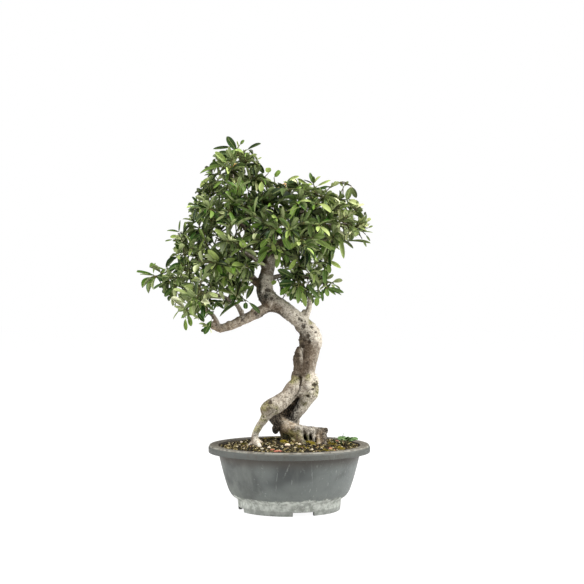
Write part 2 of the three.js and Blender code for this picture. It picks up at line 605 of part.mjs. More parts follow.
// The main twig of a shoot. It starts where it comes clear of the wood, and bends a little aside
// where another twig is in its way.
function layMainTwig(shoot, wood) {
  for (let attempt = 0; attempt < TRIES; attempt++) {
    const base = along(WOOD[shoot.on], Math.min(shoot.at + spread(0.01 * attempt), 1)).point;
    const reach = v(shoot.reach);
    const length = Math.max(base.distanceTo(reach) - TIP_LEAF_REACH, SHORTEST_TWIG);
    const tip = base.clone().addScaledVector(reach.sub(base).normalize(), length);
    const middle = base.clone().lerp(tip, 0.5);
    middle.z += (shoot.bow * length) / 50;
    middle.add(new THREE.Vector3(spread(attempt), spread(attempt), spread(attempt)));
    const stations = [[base, 1], [middle, 0.85], [tip, 0.62]].map(([place, part]) => [
      ...place.toArray(),
      TWIG_RADIUS * part,
    ]);
    const wanted = Math.round((LEAFY_SHARE * length) / NODE_SPACING);
    const count = THREE.MathUtils.clamp(wanted, 1, MOST_NODES);
    const shares = Array.from({ length: count }, (_, i) => LAST_NODE - (i * NODE_SPACING) / length);
    shares.reverse();
    const across = new THREE.Vector3(spread(1), spread(1), spread(1)).normalize();
    for (let start = 0; start < shares[0] - 2 / length; start += 0.4 / length) {
      const twig = makeTwig(stations, start, shares, across);
      const body = twigLimb(twig);
      if (body.minGap(wood, 2 * CLEARANCE) < CLEARANCE) continue;
      if (!isClear(body, TWIG_CLEARANCE, growth)) break;
      keep(body, shoot.node);
      return { ...twig, length, stations };
    }
  }
  throw new Error(shoot.node + " finds no free way out of the wood");
}

// One or two side twigs on a long shoot, from free faces of its first nodes
function addSideTwigs(main, spray) {
  const { length, nodes } = main;
  const count = (length > LENGTH_FOR_ONE_SIDE_TWIG) + (length > LENGTH_FOR_TWO_SIDE_TWIGS);
  for (const node of nodes.slice(0, Math.min(count, nodes.length - 1))) {
    const firstFace = Math.floor(4 * random());
    for (let attempt = 0; attempt < TRIES; attempt++) {
      const face = (firstFace + attempt) % 4;
      const { root, outward, tangent } = faceOf(node, face);
      const lean = SIDE_TWIG_LEAN + spread(0.2);
      const direction = tangent.clone().multiplyScalar(Math.cos(lean));
      direction.addScaledVector(outward, Math.sin(lean));
      direction.z += spread(0.2);
      direction.normalize();
      const end = root.clone().addScaledVector(direction, SIDE_TWIG_LENGTH * (1 + spread(0.25)));
      const stations = [
        [...root.toArray(), TWIG_RADIUS * 0.75],
        [...end.toArray(), TWIG_RADIUS * 0.55],
      ];
      const twig = makeTwig(stations, SIDE_TWIG_FOOT, [0.93], tangent);
      const body = twigLimb(twig);
      if (!isClear(body, TWIG_CLEARANCE, [...limbsOfWood, ...growth])) continue;
      keep(body, spray);
      node.grown[face] = twig;
      break;
    }
  }
}

// Leaves go in opposite pairs at the nodes, each pair turned a quarter from the last, with a
// rosette round the twig's end and one leaf straight on from it
function addLeaves(twig, spray, rosette) {
  twig.nodes.forEach((node, i) => {
    const isLast = i === twig.nodes.length - 1;
    const faces = isLast ? rosette : [i % 2, (i % 2) + 2];
    for (const side of node.grown) if (side) addLeaves(side, spray, [0, 2]);
    for (const face of faces) {
      if (node.grown[face]) continue;
      node.grown[face] = placeLeaf(spray, faceOf(node, face), isLast ? ROSETTE_LEAN : SIDE_LEAF_LEAN);
    }
  });
  const { point, tangent, over } = twig.rings.at(-1);
  twig.end = placeLeaf(spray, { root: point.clone(), tangent, outward: over }, TIP_LEAF_LEAN);
}

function skinOf(twig) {
  const skin = { places: [], index: [] };
  growTwig(skin, null, twig);
  return skinSolid(skin);
}

// A flower head: a short stalk from a twig, with a small dome of spent buds
const FLOWER_HEADS = [
  { node: "flower_head_1", on: "apex_5", at: 0.5, middle: [-71, -31, 476] },
  { node: "flower_head_2", on: "right_7", at: 0.6, middle: [-12, -13, 449] },
];
function makeFlowerHead({ at, middle }, twig) {
  const root = along(twig.stations, at).point;
  const stalk = limb([[...root.toArray(), 0.9], [...middle, 0.8]], 4);
  const buds = Array.from({ length: BUD_COUNT }, (_, bud) => {
    const aside = bud === 0 ? 0 : BUD_SPACING;
    const place = bearing(bud * 72).multiplyScalar(aside).add(v(middle));
    if (bud === 0) place.z += BUD_RADIUS;
    const shape = new THREE.OctahedronGeometry(BUD_RADIUS).rotateZ(bud * 1.1);
    return solid(shape.translate(place.x, place.y, place.z));
  });
  return largest(joined([stalk, ...buds]).subtract(twigLimb(twig, CLEARANCE)));
}

// The weed: a low round-leaved plant in the soil at the right, with a blade of grass beside it
const WEED_STEM = [[77, -19, 80, 1.1], [78, -20, 90, 1], [80, -20, 96, 0.9]];
const GRASS_BLADE = [[70.5, -20, 80, 0.8], [71.5, -20, 95, 0.7], [73.5, -21, 107, 0.35]];
function makeWeed() {
  const twig = makeTwig(WEED_STEM, 0, [0.7, 0.94], new THREE.Vector3(1, 0, 0));
  for (const node of twig.nodes)
    for (const face of [0, 1, 2, 3]) {
      node.grown[face] = placeLeaf("weed", faceOf(node, face), WEED_LEAF_LEAN, WEED_LEAF);
    }
  return skinOf(twig);
}

// Materials: colour, roughness
const finish = (color, roughness) => new THREE.MeshStandardMaterial({ color, roughness, metalness: 0 });

const group = new THREE.Group();
function place(name, body, material) {
  const mesh = new THREE.Mesh(geometryOf(body), material);
  mesh.name = name;
  group.add(mesh);
}

place("pot", makePot(), finish(0x5f6866, 0.6));
const holes = [makeWood(ROOTS, CLEARANCE), limb(WEED_STEM, 4, 0.5), limb(GRASS_BLADE, 4, CLEARANCE)];
place("soil", makeSoil(holes), finish(0x4a3a28, 0.95));

const wood = makeWood(WOOD);
place("wood", wood, finish(0x9a8c80, 0.8));

const mainTwigs = new Map(SHOOTS.map((shoot) => [shoot.node, layMainTwig(shoot, wood)]));
mainTwigs.forEach((twig, node) => addSideTwigs(twig, node));
for (const head of FLOWER_HEADS) {
  const body = makeFlowerHead(head, mainTwigs.get(head.on));
  keep(body, head.node);
  place(head.node, body, finish(0xb07a42, 0.7));
}
mainTwigs.forEach((twig, node) => addLeaves(twig, node, [0, 1, 2, 3]));
mainTwigs.forEach((twig, node) => place("spray_" + node, skinOf(twig), finish(0x3f6130, 0.45)));

place("weed", makeWeed(), finish(0x5d8a3c, 0.5));
place("grass", limb(GRASS_BLADE, 4), finish(0x6f9440, 0.6));

// The origin: under the middle of the whole tree's box, on the surface that the pot stands on
const extent = new THREE.Box3().setFromObject(group);
group.position.set(-(extent.min.x + extent.max.x) / 2, -(extent.min.y + extent.max.y) / 2, 0);

export default group;
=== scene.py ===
# %% [markdown]
# # A firethorn bonsai in a round pot
#
# The real thing is a little tree, half a metre high, in a moulded round pot. Its trunk stands on
# bare roots like a leg, leans to the left, and carries a loose crown of small glossy leaves.
# A frame of plain solids gives every size and place. This file dresses that frame: it makes finer
# pieces over the solids, and materials for them, and it never changes a size.
#
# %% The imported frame
import math
import random
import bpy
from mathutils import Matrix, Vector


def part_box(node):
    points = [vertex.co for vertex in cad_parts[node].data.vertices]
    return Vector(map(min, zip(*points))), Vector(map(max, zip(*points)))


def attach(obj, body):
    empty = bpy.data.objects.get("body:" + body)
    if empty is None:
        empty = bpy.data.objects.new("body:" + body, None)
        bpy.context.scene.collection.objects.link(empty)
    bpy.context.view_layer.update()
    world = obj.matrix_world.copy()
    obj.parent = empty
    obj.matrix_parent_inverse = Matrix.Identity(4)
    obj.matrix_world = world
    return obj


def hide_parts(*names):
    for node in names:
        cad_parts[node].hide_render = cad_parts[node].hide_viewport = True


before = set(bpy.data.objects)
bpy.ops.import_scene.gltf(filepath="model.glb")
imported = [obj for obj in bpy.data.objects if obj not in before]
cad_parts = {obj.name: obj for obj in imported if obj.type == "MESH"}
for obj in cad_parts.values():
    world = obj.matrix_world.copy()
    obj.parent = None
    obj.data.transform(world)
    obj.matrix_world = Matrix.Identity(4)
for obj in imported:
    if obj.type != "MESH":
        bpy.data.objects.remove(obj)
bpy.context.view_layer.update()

from types import SimpleNamespace

import bmesh
import bpy
import numpy as np
from mathutils import Matrix, Quaternion, Vector, noise
from mathutils.bvhtree import BVHTree
from mathutils.kdtree import KDTree

MM = 0.001
pot_low, pot_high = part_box("pot")
AXIS_X = (pot_low.x + pot_high.x) / 2
print("pot axis at x =", round(AXIS_X, 4), "of", len(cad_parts), "solids")


def at(x, y, z):
    """A place in millimetres from the foot of the pot's axis, as a place in the frame in metres."""
    return Vector((AXIS_X + x * MM, y * MM, z * MM))


def placed(name, data):
    """A new object in the scene, with this data."""
    made = bpy.data.objects.new(name, data)
    bpy.context.collection.objects.link(made)
    return made


# %% [markdown]
# ## Camera, light and floor
#
# A small product is photographed in a white tent: one long lens, level with the middle of the
# tree, and big soft lights left, right and above, so nothing throws a hard shadow. Large area
# lights and a bright world do the same here. The floor is a plain pale sheet.
#
# %% Camera
EYE_ASIDE, EYE_DISTANCE, EYE_HEIGHT = 3.7, 1900, 298
LENS_MM = 85.2

camera = placed("camera", bpy.data.cameras.new("camera"))
camera.data.lens = LENS_MM
camera.location = at(EYE_ASIDE, -EYE_DISTANCE, EYE_HEIGHT)
camera.rotation_euler = (math.radians(90), 0, 0)
bpy.context.scene.camera = camera

# %% Lights
SOFT_LIGHTS = {
    # name: place in mm, size in m, power in W
    "light_left": ((-1600, -350, 520), 1.1, 27),
    "light_right": ((1400, -250, 900), 1.0, 28),
    "light_above": ((250, -450, 1600), 0.9, 36),
}
LIT_HEIGHT = 240
for name, (place, size, power) in SOFT_LIGHTS.items():
    lamp = bpy.data.lights.new(name, "AREA")
    lamp.shape, lamp.size, lamp.energy = "SQUARE", size, power
    light = placed(name, lamp)
    light.location = at(*place)
    light.rotation_euler = (at(0, 0, LIT_HEIGHT) - light.location).to_track_quat("-Z", "Y").to_euler()

SKY_LIGHT = 0.3
world = bpy.data.worlds.new("white_tent")
bpy.context.scene.world = world
world.use_nodes = True
sky = world.node_tree
sky.nodes.clear()
tent_light, tent_wall, camera_ray, tent, sky_out = (
    sky.nodes.new("ShaderNode" + kind)
    for kind in ("Background", "Background", "LightPath", "MixShader", "OutputWorld"))
tent_light.inputs["Strength"].default_value = SKY_LIGHT
tent_wall.inputs["Color"].default_value = (1, 1, 1, 1)
sky.links.new(tent.outputs[0], sky_out.inputs["Surface"])
tent_parts = (camera_ray.outputs["Is Camera Ray"], tent_light.outputs[0], tent_wall.outputs[0])
for part, socket in zip(tent_parts, tent.inputs):
    sky.links.new(part, socket)
bpy.context.scene.view_settings.view_transform = "Standard"
print("camera and", len(SOFT_LIGHTS), "lights")

# %% [markdown]
# ## A small language for materials
#
# A material is a sum: a base colour, darkened in the hollows, paler where it is worn. Written as
# nodes that sum fills a page. So one class wraps a node's socket and lets Python's own signs add
# the maths nodes, and one method makes any other node.
#
# %% Sockets that can be calculated with


class Wire:
    """The output socket of a node, with Python's operators on it."""

    def __init__(self, tree, socket):
        self.tree, self.socket = tree, socket

    def maths(self, operation, *others):
        made = self.tree.nodes.new("ShaderNodeMath")
        made.operation = operation
        for socket, value in zip(made.inputs, (self, *others)):
            feed(self.tree, socket, value)
        return Wire(self.tree, made.outputs[0])

    def __add__(self, other):
        return self.maths("ADD", other)

    def __mul__(self, other):
        return self.maths("MULTIPLY", other)

    def __sub__(self, other):
        return self.maths("SUBTRACT", other)

    def __rsub__(self, other):
        return (self * -1) + other

    __radd__, __rmul__ = __add__, __mul__

    def abs(self):
        return self.maths("ABSOLUTE")

    def step(self, low, high):
        """0 below low, 1 above high, and a soft rise between them. Low may be the larger one."""
        if low > high:
            return 1 - self.step(high, low)
        made = self.tree.nodes.new("ShaderNodeMapRange")
        made.interpolation_type = "SMOOTHSTEP"
        feed(self.tree, made.inputs["Value"], self)
        made.inputs["From Min"].default_value = low
        made.inputs["From Max"].default_value = high
        return Wire(self.tree, made.outputs["Result"])


def feed(tree, socket, value):
    if isinstance(value, Wire):
        tree.links.new(value.socket, socket)
    elif isinstance(value, tuple) and len(value) == 3 and socket.type == "RGBA":
        socket.default_value = (*value, 1)
    else:
        socket.default_value = value


def add_node(tree, kind, settings=None, output=0, **values):
    """Any other node: its settings first, and then the values or links of its sockets."""
    made = tree.nodes.new(kind)
    for key, value in (settings or {}).items():
        if key == "stops":
            ramp = made.color_ramp
            while len(ramp.elements) < len(value):
                ramp.elements.new(1)
            for element, (place, colour) in zip(ramp.elements, value):
                element.position = place
                element.color = (*linear(colour), 1)
        else:
            setattr(made, key, value)
    for key, value in values.items():
        name = key.replace("_", " ")
        socket = next(s for s in made.inputs if s.name == name and s.enabled)
        feed(tree, socket, value)
    wanted = [s for s in made.outputs if s.enabled]
    found = made.outputs[output] if isinstance(output, str) else wanted[output]
    return Wire(tree, found)


def linear(colour):
    """A colour as a painter reads it off a screen, 0 to 255, as the renderer's own numbers."""
    return tuple(
        c / 12.92 if c <= 0.04045 else ((c + 0.055) / 1.055) ** 2.4
        for c in (part / 255 for part in colour)
    )


# %% The start of every material


class Finish:
    """A material being made: its tree, its place on the object, and its shader."""

    def __init__(self, name, **constants):
        self.material = bpy.data.materials.new(name)
        self.material.use_nodes = True
        self.tree = self.material.node_tree
        self.shader = self.tree.nodes["Principled BSDF"]
        for key, value in constants.items():
            feed(self.tree, self.shader.inputs[key.replace("_", " ")], value)
        self.place = self.add("ShaderNodeTexCoord", output="Object")

    def add(self, kind, settings=None, output=0, **values):
        return add_node(self.tree, kind, settings, output, **values)

    def attribute(self, name):
        return self.add("ShaderNodeAttribute", {"attribute_name": name}, "Fac")

    def axis(self, letter):
        """One coordinate of the place on the object, in metres."""
        return self.add("ShaderNodeSeparateXYZ", output=letter, Vector=self.place)

    def stretched(self, x=1, y=1, z=1):
        return self.add("ShaderNodeMapping", Vector=self.place, Scale=(x, y, z))

    def noise(self, per_metre, detail=3, rough=0.55, where=None, warp=0.0):
        return self.add("ShaderNodeTexNoise", output="Fac", Vector=where or self.place,
                        Scale=per_metre, Detail=detail, Roughness=rough, Distortion=warp)

    def cells(self, per_metre, kind="F1"):
        return self.add("ShaderNodeTexVoronoi", {"feature": kind}, "Distance",
                        Vector=self.place, Scale=per_metre)

    def ramp(self, share, *stops):
        """One colour after another, as share goes from 0 to 1."""
        return self.add("ShaderNodeValToRGB", {"stops": stops}, "Color", Fac=share)

    def mix(self, share, first, second, blend="MIX"):
        """From the first colour to the second, as share goes from 0 to 1."""
        made = self.tree.nodes.new("ShaderNodeMix")
        made.data_type, made.blend_type = "RGBA", blend
        feed(self.tree, made.inputs[0], share)
        for socket, colour in ((made.inputs[6], first), (made.inputs[7], second)):
            feed(self.tree, socket, colour if isinstance(colour, Wire) else linear(colour))
        return Wire(self.tree, made.outputs[2])

    def layers(self, base, *coats):
        """A base colour with coats over it: how much of it each one covers, and its colour."""
        for share, colour in coats:
            base = self.mix(share, base, colour)
        return base

    def shade(self, colour, factor):
        """A colour made lighter or darker by a factor that may vary."""
        grey = self.add("ShaderNodeCombineColor", Red=factor, Green=factor, Blue=factor)
        return self.mix(1, colour, grey, "MULTIPLY")

    def set(self, **values):
        for key, value in values.items():
            feed(self.tree, self.shader.inputs[key.replace("_", " ")], value)

    def bump(self, height, depth_mm, strength=1.0):
        """A height from 0 to 1 as fine relief of that many millimetres."""
        self.set(Normal=self.add("ShaderNodeBump", Height=height, Distance=depth_mm * MM,
                                 Strength=strength))
        return self.material


# %% Meshes from lists of points


def new_piece(name, vertices, faces, material=None, smooth=True):
    mesh = bpy.data.meshes.new(name)
    mesh.from_pydata([tuple(v) for v in vertices], [], faces)
    mesh.validate()
    if smooth:
        mesh.shade_smooth()
    if material:
        mesh.materials.append(material)
    return placed(name, mesh)


def from_shape(name, shape):
    """A new piece from a mesh that is still being edited."""
    mesh = bpy.data.meshes.new(name)
    shape.to_mesh(mesh)
    shape.free()
    return placed(name, mesh)


def point_attribute(mesh, name, values):
    made = mesh.attributes.new(name, "FLOAT", "POINT")
    made.data.foreach_set("value", np.asarray(values, dtype=np.float32))


def positions(mesh):
    flat = np.empty(3 * len(mesh.vertices), dtype=np.float32)
    mesh.vertices.foreach_get("co", flat)
    return flat.reshape(-1, 3).astype(float)


def baked(source, name):
    """The result of an object's modifiers as a plain mesh in a new piece; the source goes."""
    depsgraph = bpy.context.evaluated_depsgraph_get()
    mesh = bpy.data.meshes.new_from_object(source.evaluated_get(depsgraph))
    mesh.name = name
    bpy.data.objects.remove(source)
    return placed(name, mesh)


def finished(piece, slot, *replaced):
    """Every piece rides on the one body, and the solids that it replaces are hidden. The slot is not used.
    """
    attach(piece, "root")
    if replaced:
        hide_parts(*replaced)
    triangles = sum(len(p.vertices) - 2 for p in piece.data.polygons)
    print(f"{piece.name}: {triangles} triangles, for {len(replaced)} solids")


def grain(place, per_metre, seed=0.0):
    """Smooth random height from -1 to 1 at a place."""
    return noise.noise(Vector(place) * per_metre + Vector((seed, 2 * seed, -seed)))


def find_tree(places):
    """A tree that finds the nearest of many places, and its number, without trying each."""
    tree = KDTree(len(places))
    for number, place in enumerate(places):
        tree.insert(place, number)
    tree.balance()
    return tree


def angles(sides):
    return [2 * math.pi * k / sides for k in range(sides)]


def turned_faces(rings, sides, first=0, last=None, from_below=False):
    """A fan from the first point to a ring, bands from ring to ring, and a fan to the last point."""
    result = []
    for k in range(sides):
        after = (k + 1) % sides
        faces = [(first, first + 1 + k, first + 1 + after)]
        for ring in range(rings - 1):
            a, b = first + 1 + ring * sides, first + 1 + (ring + 1) * sides
            faces.append((a + k, b + k, b + after, a + after))
        if last is not None:
            a = first + 1 + (rings - 1) * sides
            faces.append((a + after, a + k, last))
        result += [(face[0], *face[:0:-1]) for face in faces] if from_below else faces
    return result


# %% [markdown]
# ## Floor
#
# The floor isn't part of the object. It is one large pale sheet, so bright that its edge can't be
# told from the white behind it.
#
# %% Floor
FLOOR_HALF = 9
FLOOR_GLOW, GLOW_SHARE = 1.2, 0.8
floor_corners = [(FLOOR_HALF * x, FLOOR_HALF * y, 0) for x, y in ((-1, -1), (1, -1), (1, 1), (-1, 1))]
sheet = Finish("pale_sheet", Roughness=0.9)
sheet.set(Base_Color=sheet.mix(sheet.noise(3), (228, 228, 228), (232, 232, 231)))
floor = new_piece("floor", floor_corners, [(0, 1, 2, 3)], sheet.material, smooth=False)
glow = sheet.tree.nodes.new("ShaderNodeEmission")
glow.inputs["Strength"].default_value = FLOOR_GLOW
to_camera = sheet.add("ShaderNodeLightPath", output="Is Camera Ray")
seen_sheet = sheet.add("ShaderNodeMixShader", Fac=to_camera * GLOW_SHARE)
sheet.tree.links.new(sheet.shader.outputs[0], seen_sheet.socket.node.inputs[1])
sheet.tree.links.new(glow.outputs[0], seen_sheet.socket.node.inputs[2])
sheet.tree.links.new(seen_sheet.socket, sheet.tree.nodes["Material Output"].inputs["Surface"])

# %% [markdown]
# ## The pot
#
# A pot like this is moulded in one thin shell: a sloping wall, a flat lip with its edge turned
# down, and a foot ring with four gaps for the water. A profile turned round an axis is the
# natural way to make it, and code can turn the profile itself. The foot gaps and drain holes are
# cut afterwards with a boolean.
#
# %% Profile of the pot
RIM_RADIUS, NECK_RADIUS, SHOULDER_RADIUS, FOOT_RADIUS = 111, 97.5, 79.8, 71.4
POT_HEIGHT, LIP_HEIGHT, SHOULDER_HEIGHT, FOOT_BAND_HEIGHT, FLOOR_HEIGHT = 89, 10, 22, 15.8, 8
WALL, WALL_FLARE, FOOT_WIDTH, FOOT_PAD_INSET = 2.6, 0.72, 7, 1.8
LIP_BOTTOM = POT_HEIGHT - LIP_HEIGHT
TURN_SIDES = 160


def wall_radius(z):
    share = max((z - SHOULDER_HEIGHT) / (LIP_BOTTOM - SHOULDER_HEIGHT), 0)
    return SHOULDER_RADIUS + (NECK_RADIUS - SHOULDER_RADIUS) * share**WALL_FLARE


def rounded(profile, radius, steps=3):
    """A profile with each inner corner replaced by a small arc of about that radius."""
    result = [profile[0]]
    for before, corner, after in zip(profile, profile[1:], profile[2:]):
        a, c, b = (Vector((*p, 0)) for p in (before, corner, after))
        reach = min(radius, (a - c).length / 2.2, (b - c).length / 2.2)
        start, end = c + (a - c).normalized() * reach, c + (b - c).normalized() * reach
        for step in range(steps + 1):
            t = step / steps
            p = start * (1 - t) ** 2 + c * (2 * t * (1 - t)) + end * t**2
            result.append((p.x, p.y))
    return result + [profile[-1]]


wall_heights = [SHOULDER_HEIGHT + (LIP_BOTTOM - SHOULDER_HEIGHT) * k / 12 for k in range(13)]
outside = [
    (0.0, FLOOR_HEIGHT), (FOOT_RADIUS - FOOT_WIDTH - FOOT_PAD_INSET, FLOOR_HEIGHT),
    (FOOT_RADIUS - FOOT_WIDTH, 0), (FOOT_RADIUS - FOOT_PAD_INSET, 0),
    (FOOT_RADIUS - 0.3, FOOT_BAND_HEIGHT - 1), (FOOT_RADIUS + 0.4, FOOT_BAND_HEIGHT + 0.6),
    (SHOULDER_RADIUS - 3, SHOULDER_HEIGHT - 3.2),
]
outside += [(wall_radius(z), z) for z in wall_heights[:-1]]
lip = [
    (NECK_RADIUS - 0.2, LIP_BOTTOM), (NECK_RADIUS + 0.6, POT_HEIGHT - WALL),
    (RIM_RADIUS - WALL - 1, POT_HEIGHT - WALL), (RIM_RADIUS - WALL, LIP_BOTTOM),
    (RIM_RADIUS - 0.2, LIP_BOTTOM), (RIM_RADIUS, POT_HEIGHT - 3.4),
    (RIM_RADIUS - 0.7, POT_HEIGHT - 2.6), (RIM_RADIUS - 1.6, POT_HEIGHT),
    (NECK_RADIUS + 4, POT_HEIGHT - 0.3), (NECK_RADIUS + 2.6, POT_HEIGHT - 0.9),
    (NECK_RADIUS - 0.2, POT_HEIGHT - 0.6),
]
inside = [(wall_radius(z) - WALL, z + 1) for z in reversed(wall_heights)]
inside += [(FOOT_RADIUS - 3, FLOOR_HEIGHT + WALL), (0.0, FLOOR_HEIGHT + WALL)]
pot_profile = rounded(outside, 1.4) + rounded(lip, 0.8)[1:] + rounded(inside, 1.6)[1:]


def turn(name, profile, sides):
    """A closed profile, from axis to axis, turned into a solid round the pot's axis."""
    vertices = [at(0, 0, profile[0][1])]
    for radius, z in profile[1:-1]:
        vertices += [at(radius * math.cos(angle), radius * math.sin(angle), z) for angle in angles(sides)]
    vertices.append(at(0, 0, profile[-1][1]))
    faces = turned_faces(len(profile) - 2, sides, last=len(vertices) - 1, from_below=True)
    return new_piece(name, vertices, faces)


pot = turn("pot_shell", pot_profile, TURN_SIDES)
print("the pot's profile has", len(pot_profile), "points")

# %% Foot gaps and drain holes
GAP_TURN, GAP_ANGLE, GAP_HEIGHT = 16.3, 24, 5.3
SHARP_EDGE_DEGREES = 38
DRAIN_CIRCLE, DRAIN_RADIUS = 36, 6


def bearing(degrees, radius):
    turned = math.radians(degrees)
    return radius * math.sin(turned), -radius * math.cos(turned)


cutter_shape = bmesh.new()
gap_width = 2 * FOOT_RADIUS * math.sin(math.radians(GAP_ANGLE / 2))
gap_size = Matrix.Diagonal((gap_width * MM, 3 * FOOT_WIDTH * MM, 2 * GAP_HEIGHT * MM, 1))
for quarter in (0, 90, 180, 270):
    gap_place = at(*bearing(GAP_TURN + quarter, FOOT_RADIUS - FOOT_WIDTH / 2), 0)
    turned = Matrix.Rotation(math.radians(GAP_TURN + quarter), 4, "Z")
    bmesh.ops.create_cube(cutter_shape, matrix=Matrix.Translation(gap_place) @ turned @ gap_size)
    drain_place = at(*bearing(45 + quarter, DRAIN_CIRCLE), FLOOR_HEIGHT + WALL / 2)
    bmesh.ops.create_cone(cutter_shape, cap_ends=True, segments=32, radius1=DRAIN_RADIUS * MM,
                          radius2=DRAIN_RADIUS * MM, depth=4 * WALL * MM,
                          matrix=Matrix.Translation(drain_place))
cutter = from_shape("pot_cutter", cutter_shape)
cut = pot.modifiers.new("gaps", "BOOLEAN")
cut.object, cut.solver = cutter, "EXACT"
pot = baked(pot, "pot_shell")
bpy.data.objects.remove(cutter)
pot.data.shade_smooth()
pot.data.set_sharp_from_angle(angle=math.radians(SHARP_EDGE_DEGREES))

# %% [markdown]
# ## The pot's finish
#
# The moulded shell is a dull blue-grey. Years of hard water left a chalky band round its foot,
# cracked where it meets the wall, and the wall has dusty blotches and fine scratches. Its left side
# is painted lighter, as painted light from the left lamp. The lip is browner with dirt, and pale
# where its edge is worn; its flat top is painted lighter, partly wear and partly a painted highlight.
# Each of these is a mask on the height of the wall times some noise, laid over the last.
#
# %% Material of the pot
glaze = Finish("weathered_pot", Specular_IOR_Level=0.4)
up = glaze.axis("Z") * (1 / MM)
cloud = glaze.noise(14, 5, 0.6)
fine = glaze.noise(160, 4, 0.6)
streaky = glaze.noise(90, 3, 0.5, glaze.stretched(1, 1, 0.12))
scratch_a = glaze.noise(380, 2, 0.5, glaze.stretched(1, 1, 0.03), 0.3).step(0.66, 0.72)
tilted = glaze.add("ShaderNodeMapping", Vector=glaze.place, Rotation=(0.5, 0.35, 0), Scale=(0.05, 1, 1))
scratch_b = glaze.noise(300, 2, 0.5, tilted, 0.4).step(0.68, 0.73)
broad = glaze.noise(9, 3, 0.5, warp=0.4)
wall = glaze.layers(
    glaze.mix(cloud.step(0.35, 0.7), (50, 53, 52), (58, 61, 60)),
    (broad.step(0.48, 0.62) * 0.7, (100, 105, 102)),
    (streaky.step(0.5, 0.75) * 0.35, (98, 102, 97)),
    (fine.step(0.55, 0.8) * 0.35, (64, 68, 67)))
aside, front = (glaze.axis("X") - AXIS_X) * (1 / MM), glaze.axis("Y").step(-0.02, -0.04)


def streak(x0, z0, x1, z1, half_width):
    """A scratch on the front of the wall, from one place to another in millimetres."""
    length = math.hypot(x1 - x0, z1 - z0)
    over, rise = (x1 - x0) / length, (z1 - z0) / length
    beside = (aside - x0) * rise - (up - z0) * over + (fine - 0.5) * 4
    run = (aside - x0) * over + (up - z0) * rise
    ends = run.step(-1, 4) * run.step(length + 1, length - 4)
    return beside.abs().step(half_width * 1.6, 0) * ends * front


# The scratches that can be told apart: from x, z to x, z, and half width
STREAKS = [(18, 68, 26, 49, 1.5), (29, 77, 30, 40, 0.6), (1, 75, -9, 50, 0.9), (-15, 72, -18, 34, 0.6),
           (22, 60, 24, 44, 2.2), (-30, 50, -22, 30, 0.6), (55, 62, 57, 58, 0.8)]
streaks = streak(*STREAKS[0])
for found in STREAKS[1:]:
    streaks = streaks.maths("MAXIMUM", streak(*found))
scratches = (scratch_a + scratch_b).maths("MINIMUM", 1) * cloud.step(0.42, 0.56)
wall = glaze.layers(
    wall, (scratches * 0.4, (140, 145, 140)),
    (streaks * fine.step(0.42, 0.62) * streaky.step(0.35, 0.6) * 0.6, (150, 154, 149)),
    # Painted light: the wall's left side is painted lighter, where the left lamp falls on it.
    ((aside * -1).step(30, 75) * cloud.step(0.3, 0.55) * 0.5, (122, 126, 120)),
    (up.step(46, 17) * fine.step(0.3, 0.6) * 0.35, (116, 120, 114)))
crust_edge = glaze.noise(60, 5, 0.7) * 13 + 15.4
chalk = (crust_edge - up).step(-0.7, 0.9)
chalk_cracks = glaze.cells(90, "DISTANCE_TO_EDGE").step(0.035, 0.0) * up.step(12, 17)
chalk_cracks = chalk_cracks * glaze.noise(30, 3).step(0.47, 0.6)
crust = glaze.layers(
    glaze.mix(fine.step(0.35, 0.65), (188, 191, 184), (146, 149, 142)),
    (glaze.noise(70, 5, 0.75).step(0.5, 0.62) * 0.75, (126, 129, 122)),
    (up.step(7.5, 6) * 0.5, (128, 131, 126)), (chalk_cracks * 0.8, (70, 68, 62)),
    ((crust_edge - up).step(2.2, 0.6) * fine.step(0.42, 0.6) * 0.7, (92, 92, 86)))
flat_place = glaze.add("ShaderNodeMapping", Vector=glaze.place, Location=(-AXIS_X, 0, 0), Scale=(1, 1, 0))
out_from_axis = glaze.add("ShaderNodeVectorMath", {"operation": "LENGTH"}, "Value", Vector=flat_place)
out_from_axis = out_from_axis * (1 / MM)
lip_mask, on_top = up.step(78.4, 79.6), up.step(86.6, 88.2)
worn_edge = on_top * out_from_axis.step(107, 110) * streaky.step(0.35, 0.6)
lip_tone = glaze.layers(
    glaze.mix(cloud.step(0.3, 0.7), (66, 69, 66), (80, 81, 76)),
    # The lip's flat top is painted lighter: partly wear, partly a painted highlight from above.
    (fine.step(0.5, 0.7) * 0.6, (70, 66, 58)), (on_top * 0.75, (112, 106, 94)),
    (worn_edge * 0.8, (140, 139, 130)), (fine.step(0.46, 0.36) * on_top * 0.7, (56, 50, 42)))
soil_stain = out_from_axis.step(98.6, 97.2) * up.step(60, 78)
body = glaze.layers(wall, (chalk, crust), (lip_mask, lip_tone), (soil_stain * 0.85, (52, 44, 34)))
glaze.set(Base_Color=body, Roughness=0.42 + chalk * 0.4 + fine * 0.14 + lip_mask * 0.12)
relief = fine * 0.5 + chalk * 0.9 - chalk_cracks * 0.9 - scratches * 0.15
pot.data.materials.clear()
pot.data.materials.append(glaze.bump(relief, 0.5, 0.7))
finished(pot, "pot", "pot")

